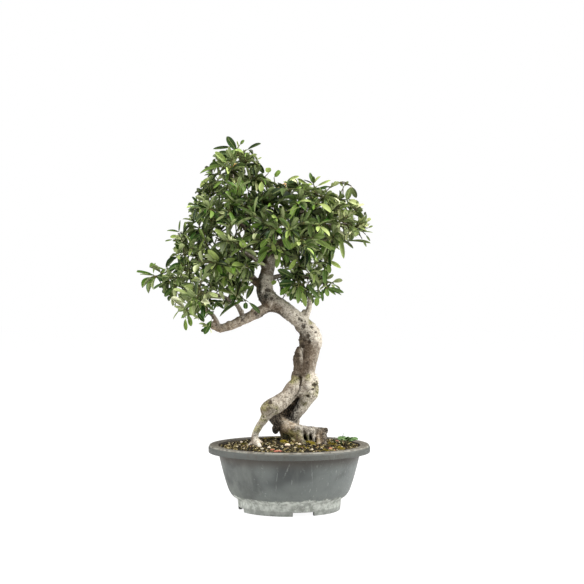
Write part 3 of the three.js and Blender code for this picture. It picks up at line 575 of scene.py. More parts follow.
# %% [markdown]
# ## The wood
#
# Trunk, roots and branches are one piece of wood that divides. Each limb is a row of stations with
# a place and a thickness, and a smooth curve through them is wrapped in a tube. The tubes are then
# melted into one skin by a voxel remesh, which joins them as wood does, without a crease, and
# small knots, pits and ridges are pushed into that skin afterwards.
#
# %% Stations of the limbs
LIMBS = {
    "left_thigh": [(14, -5, 175, 9), (7, -9, 167, 11.4), (-2.4, -13, 155.2, 11), (-13, -17, 147, 11.2),
                   (-21.6, -20, 142.4, 11.6), (-29.4, -21, 138.4, 10.8)],
    "shin": [(-24, -20, 140, 8.4), (-31, -20, 130, 6.8), (-36, -19, 122, 5.6), (-41, -17, 115, 5),
             (-45.5, -17, 106, 4.6), (-47, -21, 98, 5.2), (-44, -32, 93, 5), (-39, -45, 88, 3.6)],
    "shin_root": [(-46, -20, 97, 3.6), (-38, -22, 92.5, 2.8), (-30, -26, 88, 2.2)],
    "right_thigh": [(18, 3, 182, 12.5), (25, 2, 174, 12.2), (27.2, 1, 162.5, 13.2),
                    (23.2, 2, 150.7, 10.8), (17, 3, 138.7, 8.2), (8.6, 4, 127, 6.8), (2.6, 4, 115, 6.6)],
    # The back of the arch between the legs; its colour is all painted shade
    "arch_back": [(16, 10, 168, 9), (6, 11, 156, 10), (-2, 11, 143, 10.5), (-8, 10, 130, 9.5),
                  (-10, 9, 119, 8)],
    "cross_root": [(-24, 4, 127, 6.4), (-17, 2, 121.5, 9.4), (-8, -1, 115.5, 10), (4, -3, 110, 9),
                   (18.8, -3, 107.3, 7.8), (34, -2, 106, 7.1), (48.2, -2, 105.8, 6.4)],
    "root_middle": [(9, -5, 106, 5), (14, -18, 100, 4.4), (19, -34, 93, 3.6), (22, -46, 86, 2.6)],
    "root_thin": [(39, -3, 103, 2.8), (39.5, -18, 99, 2.6), (39, -34, 92.5, 2.4), (39, -45, 86, 2)],
    "root_right": [(46, -2, 105, 5.4), (46.5, -16, 100, 4.8), (46.5, -32, 93, 4.2), (46, -44, 86, 3)],
    # A backing that closes the hollow behind the roots; its colour is all painted shade
    "root_backing": [(2, 9, 100, 9), (16, 9, 98, 10), (32, 9, 97, 9.5), (44, 7, 97, 8.5)],
    "ridge_left": [(15, -8, 108, 3.4), (17, -13, 99, 2.7), (18, -20, 89, 2)],
    "ridge_middle": [(24, -9, 109, 3), (25, -13, 101, 2.3), (26, -17, 92, 1.7)],
    "ridge_right": [(33, -8, 108, 3.4), (33, -13, 100, 2.6), (33.6, -19, 90, 1.9)],
    "root_string": [(2, -9, 99, 1.6), (8, -22, 92.5, 1.5), (13, -36, 86, 1.4)],
    "root_cord": [(6, -9, 101, 1.5), (12, -21, 94, 1.4), (18, -34, 87, 1.4)],
    "shin_toe": [(-46, -21, 99, 3.6), (-51, -27, 93, 3), (-57, -33, 87.5, 2.4)],
    "root_left": [(-13, 7, 116, 5), (-8, 10, 104, 5.2), (-5, 12, 86, 4.2)],
    "root_back": [(8, 6, 128, 7), (5, 16, 110, 8), (3, 22, 95, 7.4), (2, 25, 78, 5.4)],
    "trunk": [(19, 0, 164, 13), (20.4, 0, 176.5, 16.6), (20.2, 1, 188.4, 15.4), (24, 2, 206.5, 15),
              (28.2, 3, 221.4, 14.8), (28.8, 3, 235, 16.6), (22.8, 1, 247.6, 12.8), (10.8, -1, 261, 10.7),
              (-8.6, -4, 276.6, 10.8), (-26, -4, 285.5, 12.4), (-33, -2, 296, 11.6), (-34, 0, 308, 11),
              (-30.5, 4, 325, 9.6), (-27.2, 7, 339.6, 9.2), (-22.4, 9, 354, 7.4)],
    "knob": [(15, -5, 190, 8), (12.2, -9, 201, 7.4), (11.6, -11, 208, 6.9), (12.8, -11, 215, 5.8),
             (14.2, -10, 220, 3.8)],
    "stub": [(22, 1, 262, 4.6), (26, 1, 272, 3.8), (28.2, 0, 281, 3.7), (28.9, -1, 294.6, 3.4)],
    "leader": [(-25, 8, 344, 7), (-38, 5, 367, 6.4), (-52.7, 2, 381, 5.4), (-66, -2, 395, 4.6),
               (-75, -4, 416, 4), (-79, -3, 440, 3.2), (-78, 0, 464, 2.4)],
    "right": [(-24, 8, 350, 6.8), (-6, 11, 368, 6.2), (20, 9, 380, 5.4), (44, 4, 386, 4.4),
              (60, 0, 389, 3.6), (78, -4, 390.5, 2.6)],
    "right_high": [(-6, 11, 368, 4.6), (6, 16, 392, 4.2), (22, 16, 414, 3.4), (36, 12, 434, 2.4)],
    "back": [(-31, 3, 322, 6), (-24, 26, 340, 5), (-14, 48, 354, 4), (-4, 64, 368, 3)],
    "forward": [(-24, 8, 350, 5), (-18, -12, 360, 4.4), (-8, -34, 368, 3.4), (2, -52, 372, 2.6)],
    "forward_left": [(-29, 4, 330, 4), (-40, -12, 338, 3), (-52, -26, 346, 2.8), (-66, -38, 356, 2.2)],
    "left": [(-34, 0, 304, 6), (-46, 6, 312, 5.4), (-60, 10, 326, 4.8), (-80, 12, 336, 4),
             (-104, 12, 340, 3.2), (-132, 8, 340, 2.4)],
    "left_back": [(-60, 10, 326, 3.6), (-80, 30, 322, 3), (-104, 44, 320, 2.2)],
    "lower_left": [(-12, -4, 276, 8), (-28.2, -8, 277, 7.2), (-44.8, -11, 268.6, 7),
                   (-63.3, -13, 260, 6.5), (-80.2, -14, 252, 6.2), (-94.9, -14, 248.6, 5.8),
                   (-103.5, -14, 252.4, 4.6)],
    "lower_left_spur": [(-62, -13, 261, 3.4), (-71.5, -10, 279.8, 3), (-90, -4, 291, 2.6),
                        (-114, -2, 298, 2.2)],
    "lower_left_end": [(-94.9, -14, 249, 3.6), (-104, -18, 266, 3), (-122, -22, 279, 2.2)],
    "apex_left": [(-66, -2, 395, 3.6), (-86, -14, 402, 2.8), (-106, -22, 404, 2.2)],
    "apex_back": [(-52.7, 2, 381, 4), (-68, 22, 393, 3.2), (-82, 38, 402, 2.4)],
    "low_right": [(-30, 4, 314, 4.4), (-14, 14, 320, 3.4), (8, 14, 320, 2.8), (30, 8, 317, 2.2)],
    "right_back": [(20, 9, 380, 3.8), (30, 26, 388, 3), (42, 42, 394, 2.2)],
}

# %% A tube along a smooth curve


def through(points, step):
    """Places and radii along a smooth curve through the stations, about a step apart."""
    points = [np.array(p, dtype=float) for p in points]
    ends = [2 * points[0] - points[1], *points, 2 * points[-1] - points[-2]]
    result = []
    for a, b, c, d in zip(ends, ends[1:], ends[2:], ends[3:]):
        count = max(int(np.linalg.norm((c - b)[:3]) / step), 1)
        for k in range(count):
            t = k / count
            result.append(0.5 * (2 * b + (c - a) * t + (2 * a - 5 * b + 4 * c - d) * t**2
                                 + (3 * b - a - 3 * c + d) * t**3))
    return result + [points[-1]]


CAP_STEPS = ((0.45, 0.88), (0.8, 0.58), (0.97, 0.2))


def tube(stations, sides, skin, cut_end=False):
    """Adds to a skin a closed tube through stations of x, y, z and radius, all in millimetres."""
    vertices, faces = skin
    centres = [Vector(s[:3]) for s in stations]
    radii = [s[3] for s in stations]
    for end, after in ((0, 1), (-1, -2))[: 1 if cut_end else 2]:
        out = (centres[end] - centres[after]).normalized()
        cap_centres = [centres[end] + out * radii[end] * lift for lift, _ in CAP_STEPS]
        cap_radii = [radii[end] * share for _, share in CAP_STEPS]
        if end == 0:
            centres, radii = cap_centres[::-1] + centres, cap_radii[::-1] + radii
        else:
            centres, radii = centres + cap_centres, radii + cap_radii
    first = len(vertices)
    side = None
    for k, (centre, radius) in enumerate(zip(centres, radii)):
        ahead = (centres[min(k + 1, len(centres) - 1)] - centres[max(k - 1, 0)]).normalized()
        if side is None:
            side = ahead.orthogonal().normalized()
        side = (side - ahead * side.dot(ahead)).normalized()
        other = ahead.cross(side)
        for angle in angles(sides):
            out = side * math.cos(angle) + other * math.sin(angle)
            vertices.append(at(*(centre + out * radius)))
    for ring in range(len(centres) - 1):
        a, b = first + ring * sides, first + (ring + 1) * sides
        for corner in range(sides):
            after = (corner + 1) % sides
            faces.append((a + corner, a + after, b + after, b + corner))
    faces.append(tuple(first + corner for corner in reversed(range(sides))))
    faces.append(tuple(len(vertices) - sides + corner for corner in range(sides)))


limb_skin = [], []
limb_curves = {name: through(stations, 2.0) for name, stations in LIMBS.items()}
SAWN_LIMBS = {"cross_root", "stub", "lower_left"}
for name, curve in limb_curves.items():
    tube(curve, 20, limb_skin, cut_end=name in SAWN_LIMBS)

# Knots and swellings: x, y, z and radius in millimetres; each is a short upright tube
KNOTS = [(34, -5, 236, 8.5), (30, -7, 226, 6), (9, -9, 182, 7), (33, -4, 175, 7.5), (25, -7, 172, 8.5),
         (-36, -8, 300, 6), (-28, -12, 284, 6), (-48, -14, 270, 5), (-82, -16, 252, 5),
         (-27, -25, 143, 5.5), (22, -5, 150, 5), (-19, -2, 109, 4.6), (4, -15, 163, 7),
         (4, -9, 108, 6), (-104, -14, 252.5, 4.4), (20, 1, 270, 3.2), (46, -4, 98, 4.6),
         (-94, -14, 245.5, 2.6), (-64, -19, 271, 2.6), (50, -5, 108, 3.2), (28, -9, 108, 3.6),
         (14, -9, 107, 4.4), (40, -9, 107, 3.4), (22, -10, 109, 2.6), (-47, -24, 100, 4.4),
         (38, -7, 175, 1.6), (36.6, -5, 184, 1.5)]
for x, y, z, radius in KNOTS:
    tube([(x, y, z - radius * 0.4, radius), (x, y, z + radius * 0.4, radius)], 14, limb_skin)
print(len(LIMBS), "limbs and", len(KNOTS), "knots")

# %% Melt the limbs into one skin
WOOD_VOXEL_MM = 1.03
wood = new_piece("wood_skin", *limb_skin)
melt = wood.modifiers.new("melt", "REMESH")
melt.mode, melt.voxel_size = "VOXEL", WOOD_VOXEL_MM * MM
soften = wood.modifiers.new("soften", "SMOOTH")
soften.factor, soften.iterations = 0.5, 3
wood = baked(wood, "wood_skin")
print("the skin of the wood has", len(wood.data.vertices), "points")

# %% Ridges, pits and hollows
# Pits in the bark of the upper trunk and broken places: x, z, radius and depth in millimetres
PITS = [(14, 261, 2.6, 1.5), (16.5, 259, 1.8, 1), (19, 251, 4, 2), (14.5, 239.5, 3.8, 1.8),
        (27.8, 230, 3, 2), (26, 238, 3.4, 0.9), (31, 250, 2, 1.2), (36.2, 243.4, 2.2, 1.4),
        (22, 258, 1.4, 0.8), (9.5, 212, 4.4, 1.2), (18, 224.5, 3.4, 1.2), (35, 171, 4, 1.2),
        (32, 165, 2.6, 0.8), (-24, 289, 3, 1.2), (-64, 260, 2.8, 1), (-45, 268.5, 3.4, 1.2),
        (-30, 301, 4, 1.4), (25, 156, 2.6, 0.8), (-26, 149, 3.6, 0.8), (24, 201, 2, 0.6)]
PIT_SIZE, CREASE_EDGE = 1.35, 1.6
# Creases: a row of x, z places, half width and depth
CREASES = [([(1, 186), (9, 184.6), (15, 182.6), (19, 185.6), (26, 187)], 0.8, 1.1),
           ([(15.6, 182), (15.6, 174), (15.2, 167), (13, 160), (8.5, 152)], 1.3, 3),
           ([(31, 180), (37, 175), (38.5, 168), (35, 160), (31, 155)], 0.9, 0.5),
           ([(-20, 152), (-29, 149), (-36, 143), (-38, 136), (-34, 129)], 0.9, 0.5),
           ([(16.5, 221), (19, 214), (19.6, 207)], 0.9, 1.6),
           ([(15, 226), (20, 224.5), (26, 224.5)], 1.3, 1)]
spots = positions(wood.data)
normals = np.empty(3 * len(spots), dtype=np.float32)
wood.data.vertices.foreach_get("normal", normals)
normals = normals.reshape(-1, 3)
local = (spots - np.array([AXIS_X, 0, 0])) / MM


def row_distance(points, row):
    """The distance in plan of the front view from each point to a row of places."""
    best = np.full(len(points), 1e9)
    for (x0, z0), (x1, z1) in zip(row, row[1:]):
        a, along = np.array([x0, z0]), np.array([x1 - x0, z1 - z0], dtype=float)
        rel = points - a
        t = np.clip(rel @ along / (along @ along), 0, 1)
        best = np.minimum(best, np.linalg.norm(rel - t[:, None] * along, axis=1))
    return best


def smooth_step(values, low, high):
    t = np.clip((values - low) / (high - low), 0, 1)
    return t * t * (3 - 2 * t)


lift = np.zeros(len(spots))
# Painted shade: this mask darkens the pits and creases, and later the low places of the rough bark
hollow = np.zeros(len(spots))
front = normals[:, 1] < 0.35
ragged = np.array([1 + 0.8 * grain(p, 420, 17) + 0.5 * grain(p, 900, 2) for p in spots])
for x, z, radius, depth in PITS:
    radius = PIT_SIZE * radius
    away = np.hypot(local[:, 0] - x, local[:, 2] - z) * ragged
    inside_pit = (1 - smooth_step(away, 0.25 * radius, radius)) * front
    rim = np.exp(-(((away - 1.15 * radius) / (0.35 * radius)) ** 2)) * front
    lift += -0.8 * depth * inside_pit + 0.5 * rim
    hollow = np.maximum(hollow, inside_pit)
for row, half_width, depth in CREASES:
    away = row_distance(local[:, [0, 2]], row) * ragged
    inside_crease = (1 - smooth_step(away, 0.2 * half_width, half_width * CREASE_EDGE)) * front
    lift -= depth * inside_crease
    hollow = np.maximum(hollow, inside_crease * min(0.25 + 0.22 * depth, 1))
rough = np.array([
    0.75 * grain(p * (1, 1, 0.55), 45, 3) + 0.8 * grain(p * (1, 1, 0.6), 120, 7)
    + 0.5 * grain(p * (1, 1, 0.45), 300, 11) + 0.35 * grain(p, 600, 5) for p in spots])

# %% Which limb each point of the skin is on
GNARLED_LIMBS = {"cross_root", "root_middle", "root_right", "root_backing", "arch_back", "knob"}
FULL_RELIEF_MM = 12
limb_stations = [(name, station) for name, curve in limb_curves.items() for station in curve]
limb_tree = find_tree([at(*station[:3]) for _, station in limb_stations])
nearest = [limb_tree.find(Vector(p))[1] for p in spots]
own_radius = np.array([limb_stations[k][1][3] for k in nearest])
own_name = [limb_stations[k][0] for k in nearest]


def on(*limbs):
    """True at the points of the skin that are nearest to one of these limbs."""
    return np.array([name in limbs for name in own_name])


gnarled = np.where(on(*GNARLED_LIMBS), 1.9, 1.3)
lift += (rough - 0.1) * np.clip(own_radius / FULL_RELIEF_MM, 0.22, 1.0) * gnarled
moved = spots + normals * (lift * MM)[:, None]
wood.data.vertices.foreach_set("co", moved.astype(np.float32).ravel())
wood.data.update()

# %% What the bark's colour follows
# How pale, how brown and how green the bark is, from the height and the limb it is on; its
# paleness also holds painted light on faces turned up and to the right, and a painted highlight
ends = np.empty(2 * len(wood.data.edges), dtype=np.int32)
wood.data.edges.foreach_get("vertices", ends)
ends = ends.reshape(-1, 2)
neighbours = np.maximum(np.bincount(ends.ravel(), minlength=len(spots)), 1)


def spread(values, rounds):
    """Values on the skin's points, each averaged with its neighbours a number of times."""
    for _ in range(rounds):
        total = np.bincount(ends[:, 0], values[ends[:, 1]], len(spots))
        total += np.bincount(ends[:, 1], values[ends[:, 0]], len(spots))
        values = 0.4 * values + 0.6 * total / neighbours
    return values


ROOT_LIMBS = {"cross_root", "root_middle", "root_thin", "root_right", "root_left", "root_back",
              "root_backing", "root_string", "root_cord", "shin_root", "arch_back"}
# How pale each limb is, and how much it lies in shade
LIMB_TONES = {
    "left_thigh": (0.44, 0), "right_thigh": (1, 0), "shin": (0.8, 0), "lower_left": (0.4, 0),
    "lower_left_spur": (0.5, 0), "stub": (0.6, 0), "cross_root": (0.62, 0), "arch_back": (0, 1),
    "knob": (0.1, 0.4), "root_middle": (0.45, 0.48), "root_thin": (0.45, 0.35), "root_left": (0.3, 0.8),
    "root_right": (0.3, 0.88), "root_string": (0.6, 0), "root_cord": (0.5, 0), "shin_toe": (0.45, 0),
    "ridge_left": (0.6, 0.5), "ridge_middle": (0.55, 0.6), "ridge_right": (0.65, 0.5),
    "shin_root": (0.5, 0), "root_backing": (0.05, 1)}
limb_tones = np.array([LIMB_TONES.get(n, (0.3, 0)) for n in own_name], dtype=float)
x, z = local[:, 0], local[:, 2] + 3.5 * np.array([grain(p, 110, 23) for p in spots])
on_trunk, on_root = on("trunk"), on("cross_root")
trunk_pale = 0.08 + 0.6 * smooth_step(z, 216, 240) - 0.1 * smooth_step(z, 270, 300)
pale = np.where(on_trunk, trunk_pale, limb_tones[:, 0])
pale = np.where(on_trunk, pale + (0.8 - pale) * (1 - smooth_step(z, 172, 192)), pale)
# Painted light: faces turned up, and more so faces turned to the right, are made paler
pale = spread(pale, 30) + 0.14 * normals[:, 2] + 0.38 * normals[:, 0]
# Painted highlight: a pale stripe on the front and right side of the trunk above the fork
pale += 1.2 * smooth_step(normals[:, 0], -0.45, 0.0) * smooth_step(z, 290, 300) * on_trunk
brown = np.where(on(*ROOT_LIMBS), 1.0, np.where(on("lower_left", "left"), 0.45, 0.15))

# %% Shade and algae


def near(x0, z0, wide, high, core, edge):
    """1 round a place of the front view, and 0 past the edge; wide and high stretch it."""
    return 1 - smooth_step(np.hypot((x - x0) / wide, (z - z0) / high), core, edge)


deep_y = local[:, 1]
inner_thigh = (1 - smooth_step(x - 0.12 * (z - 160), 13, 18)) * (z < 164) * (z > 108)
left_of_fork = smooth_step(-normals[:, 0], 0.1, 0.65) * smooth_step(z, 276, 290) * (x < -20)
shade = np.maximum.reduce([
    limb_tones[:, 1], (1 - smooth_step(x, -15, -7)) * on_root,
    (0.74 * smooth_step(x, 6, 16) + 0.12 * smooth_step(x, 32, 40)) * on_root,
    0.55 * (1 - smooth_step(z, 126, 140)) * (z > 112) * on("right_thigh"),
    # Behind the arch, on the inner side of the thigh, and under the cross root
    0.9 * smooth_step(deep_y, -4, 4) * (z < 158) * (z > 124) * (x < 13) * (x > -26),
    0.95 * inner_thigh * ~on("left_thigh", "cross_root", "shin"),
    0.85 * (1 - smooth_step(z, 97, 104)) * (x < 14) * (x > -22) * (deep_y > -14),
    # Left of the fork, and in three hollows
    0.9 * left_of_fork * on_trunk,
    0.85 * near(-34, 290, 1.3, 1, 4, 11),
    0.6 * near(20, 236, 1, 1.2, 4, 14),
    0.75 * near(-45, 104, 1, 1.3, 2, 6),
    # The trunk's left side, the top of the stub, and every underside in the crown
    0.5 * smooth_step(-normals[:, 0], 0.3, 0.95) * (z > 186) * on("trunk", "knob"),
    0.5 * smooth_step(z, 285, 291) * on("stub"),
    0.7 * smooth_step(-normals[:, 2], 0.1, 0.8) * (z > 262)])
# Patches of algae: x, z and radius
GREEN_PATCHES = [(-30, 146, 9), (36, 170, 9), (-20, 138, 8), (26, 156, 7), (-44, 112, 9), (20, 146, 6),
                 (-36, 126, 8), (30, 258, 6), (8, 179, 8), (38, 160, 8), (2, 103, 10), (22, 97, 10),
                 (-34, 140, 7), (-4, 100, 9), (6, 97, 8), (14, 181, 6), (4, 177, 6), (26, 181, 6),
                 (-60, 88, 6), (12, 106, 8)]
green = np.maximum.reduce([near(px, pz, 1, 1, 0.3 * radius, radius) for px, pz, radius in GREEN_PATCHES])
# The low places of the rough bark, which get painted shade
cavity = smooth_step(-rough, 0.05, 1.1)
for name, values in (("shade", np.clip(spread(shade, 14), 0, 1)), ("pale", np.clip(pale, 0, 1)),
                     ("brown", spread(brown, 20)), ("green", spread(green, 4)),
                     ("hollow", np.clip(np.maximum(hollow, cavity * 0.55), 0, 1))):
    point_attribute(wood.data, name, values)
wood.data.shade_smooth()

# %% [markdown]
# ## The bark
#
# Firethorn bark is smooth and pale grey on a thigh and rough and brown on a root. Its pits, creases
# and low places are painted dark as painted shade, and so are the parts that lie in shade, while
# faces turned up and to the right are painted paler as painted light. Yellow-green algae sit where
# water runs. The colour follows what the skin's points remember of where they are, and noise
# breaks every border up.
#
# %% Material of the bark
bark = Finish("firethorn_bark", Specular_IOR_Level=0.3)
own = {name: bark.attribute(name) for name in ("pale", "brown", "green", "shade", "hollow")}
spread_noise = bark.noise(70, 5, 0.6)
fleck = bark.noise(520, 4, 0.7)
strand = bark.noise(240, 4, 0.6, bark.stretched(1, 1, 0.3))
blotch = bark.noise(170, 5, 0.72, warp=0.5)
# Paleness of the bark, with the painted light and the painted highlight in it
paleness_and_light = (own["pale"] + (spread_noise - 0.5) * 0.7).step(0.05, 0.95)
algae = own["green"] * spread_noise.step(0.35, 0.6) + bark.noise(38, 4, 0.6).step(0.62, 0.72) * 0.2
moss_dots = own["green"] * bark.noise(380, 4, 0.6).step(0.5, 0.56)
deep = own["shade"] * (blotch.step(0.66, 0.34) * 0.5 + fleck.step(0.6, 0.42) * 0.45 + 0.4)
bark_tone = bark.layers(
    bark.mix(paleness_and_light, (86, 72, 57), (208, 200, 184)),
    (own["brown"] * spread_noise.step(0.2, 0.6) * 0.75, (156, 130, 94)),
    (strand.step(0.48, 0.7) * 0.45, (104, 89, 72)),
    (blotch.step(0.52, 0.64) * (paleness_and_light * 0.65 + 0.06), (220, 213, 200)),
    (blotch.step(0.48, 0.36) * (0.8 - paleness_and_light * 0.35), (84, 69, 51)),
    (fleck.step(0.53, 0.61) * (paleness_and_light * 0.42 + 0.05), (226, 221, 208)),
    (fleck.step(0.47, 0.38) * 0.75, (56, 44, 32)),
    (algae.maths("MINIMUM", 1) * (fleck.step(0.35, 0.6) * 0.5 + 0.25), (150, 146, 74)),
    (moss_dots.maths("MINIMUM", 1) * 0.85, (66, 66, 20)),
    (deep.maths("MINIMUM", 0.97), bark.mix(fleck.step(0.42, 0.66), (5, 3, 1), (31, 23, 13))),
    (own["shade"] * own["green"] * fleck.step(0.4, 0.6) * 0.8, (62, 66, 24)),
    # Painted shade in the pits, creases and low places
    (own["hollow"].step(0.12, 0.9) * 0.9, (50, 39, 26)))
bark.set(Base_Color=bark_tone, Roughness=0.66 + fleck * 0.25)
wood.data.materials.clear()
wood.data.materials.append(bark.bump(strand * 0.5 + fleck * 0.5 + blotch * 0.6, 1.1, 1.0))
finished(wood, "wood", "wood")

# %% [markdown]
# ## The soil
#
# Bonsai soil is a mix of baked clay, pumice, bark and grit, in grains of one and a half to three
# millimetres. One mound gives its height, and thousands of small stones lie on it. Scattering them
# is work for Geometry Nodes: points on the surface, a stone on each, turned and sized at random
# from a fixed seed.
#
# %% The mound
SOIL_EDGE, SOIL_RISE = 85, 10
MOUND_MIDDLE, MOUND_STEEPNESS = 4, 1.2


def soil_height(x, y):
    share = min(math.hypot(x - MOUND_MIDDLE, y) / NECK_RADIUS, 1)
    lumps = 0.9 * math.sin(0.37 * x + 1.1) * math.cos(0.41 * y + 0.3)
    grit = 0.6 * math.sin(0.83 * x - 0.57 * y + 2)
    return SOIL_EDGE + SOIL_RISE * (1 - share**2) ** MOUND_STEEPNESS + lumps + grit


SOIL_GAP = 0.5
SOIL_RINGS, SOIL_SIDES = 60, 160
SOIL_FLOOR_RADIUS, SOIL_FLOOR_HEIGHT = 66, 11.2
soil_radius = wall_radius(LIP_BOTTOM) - WALL - SOIL_GAP
soil_vertices = [at(0, 0, soil_height(0, 0))]
for ring in range(1, SOIL_RINGS + 1):
    radius = soil_radius * ring / SOIL_RINGS
    for angle in angles(SOIL_SIDES):
        x, y = radius * math.cos(angle), radius * math.sin(angle)
        soil_vertices.append(at(x, y, soil_height(x, y) + 0.7 * grain((x, y, 0), 0.35, 5)))
soil_sides = [(soil_radius, LIP_BOTTOM)]
soil_sides += [(wall_radius(height) - WALL - SOIL_GAP, height + 1) for height in (70, 56, 35, 22)]
soil_sides.append((SOIL_FLOOR_RADIUS, SOIL_FLOOR_HEIGHT))
for radius, height in soil_sides:
    for angle in angles(SOIL_SIDES):
        soil_vertices.append(at(radius * math.cos(angle), radius * math.sin(angle), height))
soil_vertices.append(at(0, 0, SOIL_FLOOR_HEIGHT))
soil_faces = turned_faces(SOIL_RINGS + len(soil_sides), SOIL_SIDES, last=len(soil_vertices) - 1)
earth = Finish("damp_earth", Roughness=0.95, Specular_IOR_Level=0.2)
crumbs = earth.cells(420)
earth_tone = earth.mix(earth.noise(120, 4).step(0.35, 0.65), (12, 9, 2), (32, 25, 9))
earth.set(Base_Color=earth.mix(crumbs.step(0.3, 0.7) * 0.5, earth_tone, (26, 20, 12)))
soil = new_piece("soil_mound", soil_vertices, soil_faces, earth.bump(crumbs, 1.0))
finished(soil, "soil", "soil")

# %% One grain, and a tree that scatters it


def stone_shape(name, seed, squash, subdivisions=1):
    """A rough little stone of radius one."""
    shape = bmesh.new()
    bmesh.ops.create_icosphere(shape, subdivisions=subdivisions, radius=1)
    for vertex in shape.verts:
        vertex.co *= 1 + 0.28 * noise.noise(vertex.co * 1.7 + Vector((seed, 0, 0)))
        vertex.co.z *= squash
    return from_shape(name, shape)


def start_tree(name, sockets):
    """A node tree that takes and gives a geometry, with further named inputs, each of its kind."""
    tree = bpy.data.node_groups.new(name, "GeometryNodeTree")
    for label, kind in {"Geometry": "Geometry", **sockets, "Finish": "Material"}.items():
        tree.interface.new_socket(label, in_out="INPUT", socket_type="NodeSocket" + kind)
    tree.interface.new_socket("Geometry", in_out="OUTPUT", socket_type="NodeSocketGeometry")
    return tree, tree.nodes.new("NodeGroupInput").outputs


def end_tree(tree, given, instances):
    """Instances become real faces, take the finish and leave the tree."""
    new, link = tree.nodes.new, tree.links.new
    real, paint = new("GeometryNodeRealizeInstances"), new("GeometryNodeSetMaterial")
    link(instances, real.inputs["Geometry"])
    link(real.outputs["Geometry"], paint.inputs["Geometry"])
    link(given["Finish"], paint.inputs["Material"])
    link(paint.outputs["Geometry"], new("NodeGroupOutput").inputs["Geometry"])
    return tree


def grown(ground, tree, name, inputs):
    """A new piece that the tree makes from the ground; each input is set by its own identifier."""
    modifier = ground.modifiers.new(tree.name, "NODES")
    modifier.node_group = tree
    for key, value in inputs.items():
        found = next(s for s in tree.interface.items_tree if s.name == key and s.in_out == "INPUT")
        modifier[found.identifier] = value
    return baked(ground, name)


def scatter_tree(name, on_faces, seed_step):
    """Sets one shape at random on faces, or on every point, turned and sized at random."""
    sockets = {"Shape": "Object", "Smallest": "Float", "Largest": "Float", "Seed": "Int"}
    if on_faces:
        sockets["Density"] = "Float"
    tree, given = start_tree(name, sockets)
    new, link = tree.nodes.new, tree.links.new
    points = new("GeometryNodeDistributePointsOnFaces" if on_faces else "GeometryNodeMeshToPoints")
    link(given["Geometry"], points.inputs["Mesh"])
    if on_faces:
        link(given["Density"], points.inputs["Density"])
        link(given["Seed"], points.inputs["Seed"])
    size, turned, tone = (new("FunctionNodeRandomValue") for _ in range(3))
    link(given["Smallest"], size.inputs[2])
    link(given["Largest"], size.inputs[3])
    turned.data_type = "FLOAT_VECTOR"
    turned.inputs[1].default_value = (6.28, 6.28, 6.28)
    for number, chosen in enumerate((size, turned, tone)):
        plus = new("ShaderNodeMath")
        plus.inputs[1].default_value = seed_step * number
        link(given["Seed"], plus.inputs[0])
        link(plus.outputs[0], chosen.inputs["Seed"])
    store = new("GeometryNodeStoreNamedAttribute")
    store.data_type = "FLOAT"
    store.inputs["Name"].default_value = "tone"
    link(points.outputs[0], store.inputs["Geometry"])
    link(tone.outputs[1], next(s for s in store.inputs if s.name == "Value" and s.enabled))
    info, place = new("GeometryNodeObjectInfo"), new("GeometryNodeInstanceOnPoints")
    link(given["Shape"], info.inputs["Object"])
    link(store.outputs["Geometry"], place.inputs["Points"])
    link(info.outputs["Geometry"], place.inputs["Instance"])
    link(turned.outputs[0], place.inputs["Rotation"])
    link(size.outputs[1], place.inputs["Scale"])
    return end_tree(tree, given, place.outputs["Instances"])


# %% [markdown]
# ## The grit's finish
#
# Each stone remembers one random number, and a ramp turns it into the colour of a kind of grain:
# dark humus, brown bark, tan clay, ochre, pale pumice.
#
# %% Material of the grit
grit = Finish("mixed_grit", Roughness=0.85, Specular_IOR_Level=0.3)
kinds = grit.ramp(
    grit.attribute("tone"), (0.0, (9, 6, 1)), (0.3, (22, 17, 4)), (0.5, (46, 37, 13)), (0.64, (78, 66, 28)),
    (0.76, (118, 103, 58)), (0.88, (158, 144, 96)), (0.96, (196, 184, 150)), (1.0, (132, 92, 60)))
mottle = grit.noise(900, 3)
damp = grit.noise(26, 3).step(0.45, 0.62)
grit.set(Base_Color=grit.layers(kinds, (damp * 0.45, (36, 33, 8)),
                                (mottle.step(0.45, 0.75) * 0.4, (34, 26, 9))))
grit.bump(mottle, 0.25)

# %% Scatter the grit
scatter = scatter_tree("scatter_shapes", True, 11)
soil_tops = soil_vertices[: 1 + SOIL_RINGS * SOIL_SIDES]
soil_top_faces = [f for f in soil_faces if max(f) < len(soil_tops)]
pebble, chip = stone_shape("pebble", 2.0, 0.8), stone_shape("chip", 9.0, 0.45)
# The shape, how many per square metre, the smallest and the largest radius in mm, and the seed
GRIT = {"soil_grit": (pebble, 130000.0, 0.7, 2.1, 4), "soil_chips": (chip, 50000.0, 1.1, 2.6, 21)}
for name, (shape, density, smallest, largest, seed) in GRIT.items():
    ground = new_piece(name + "_ground", soil_tops, soil_top_faces)
    piece = grown(ground, scatter, name, {
        "Shape": shape, "Density": density, "Smallest": smallest * MM,
        "Largest": largest * MM, "Seed": seed, "Finish": grit.material})
    finished(piece, "soil")

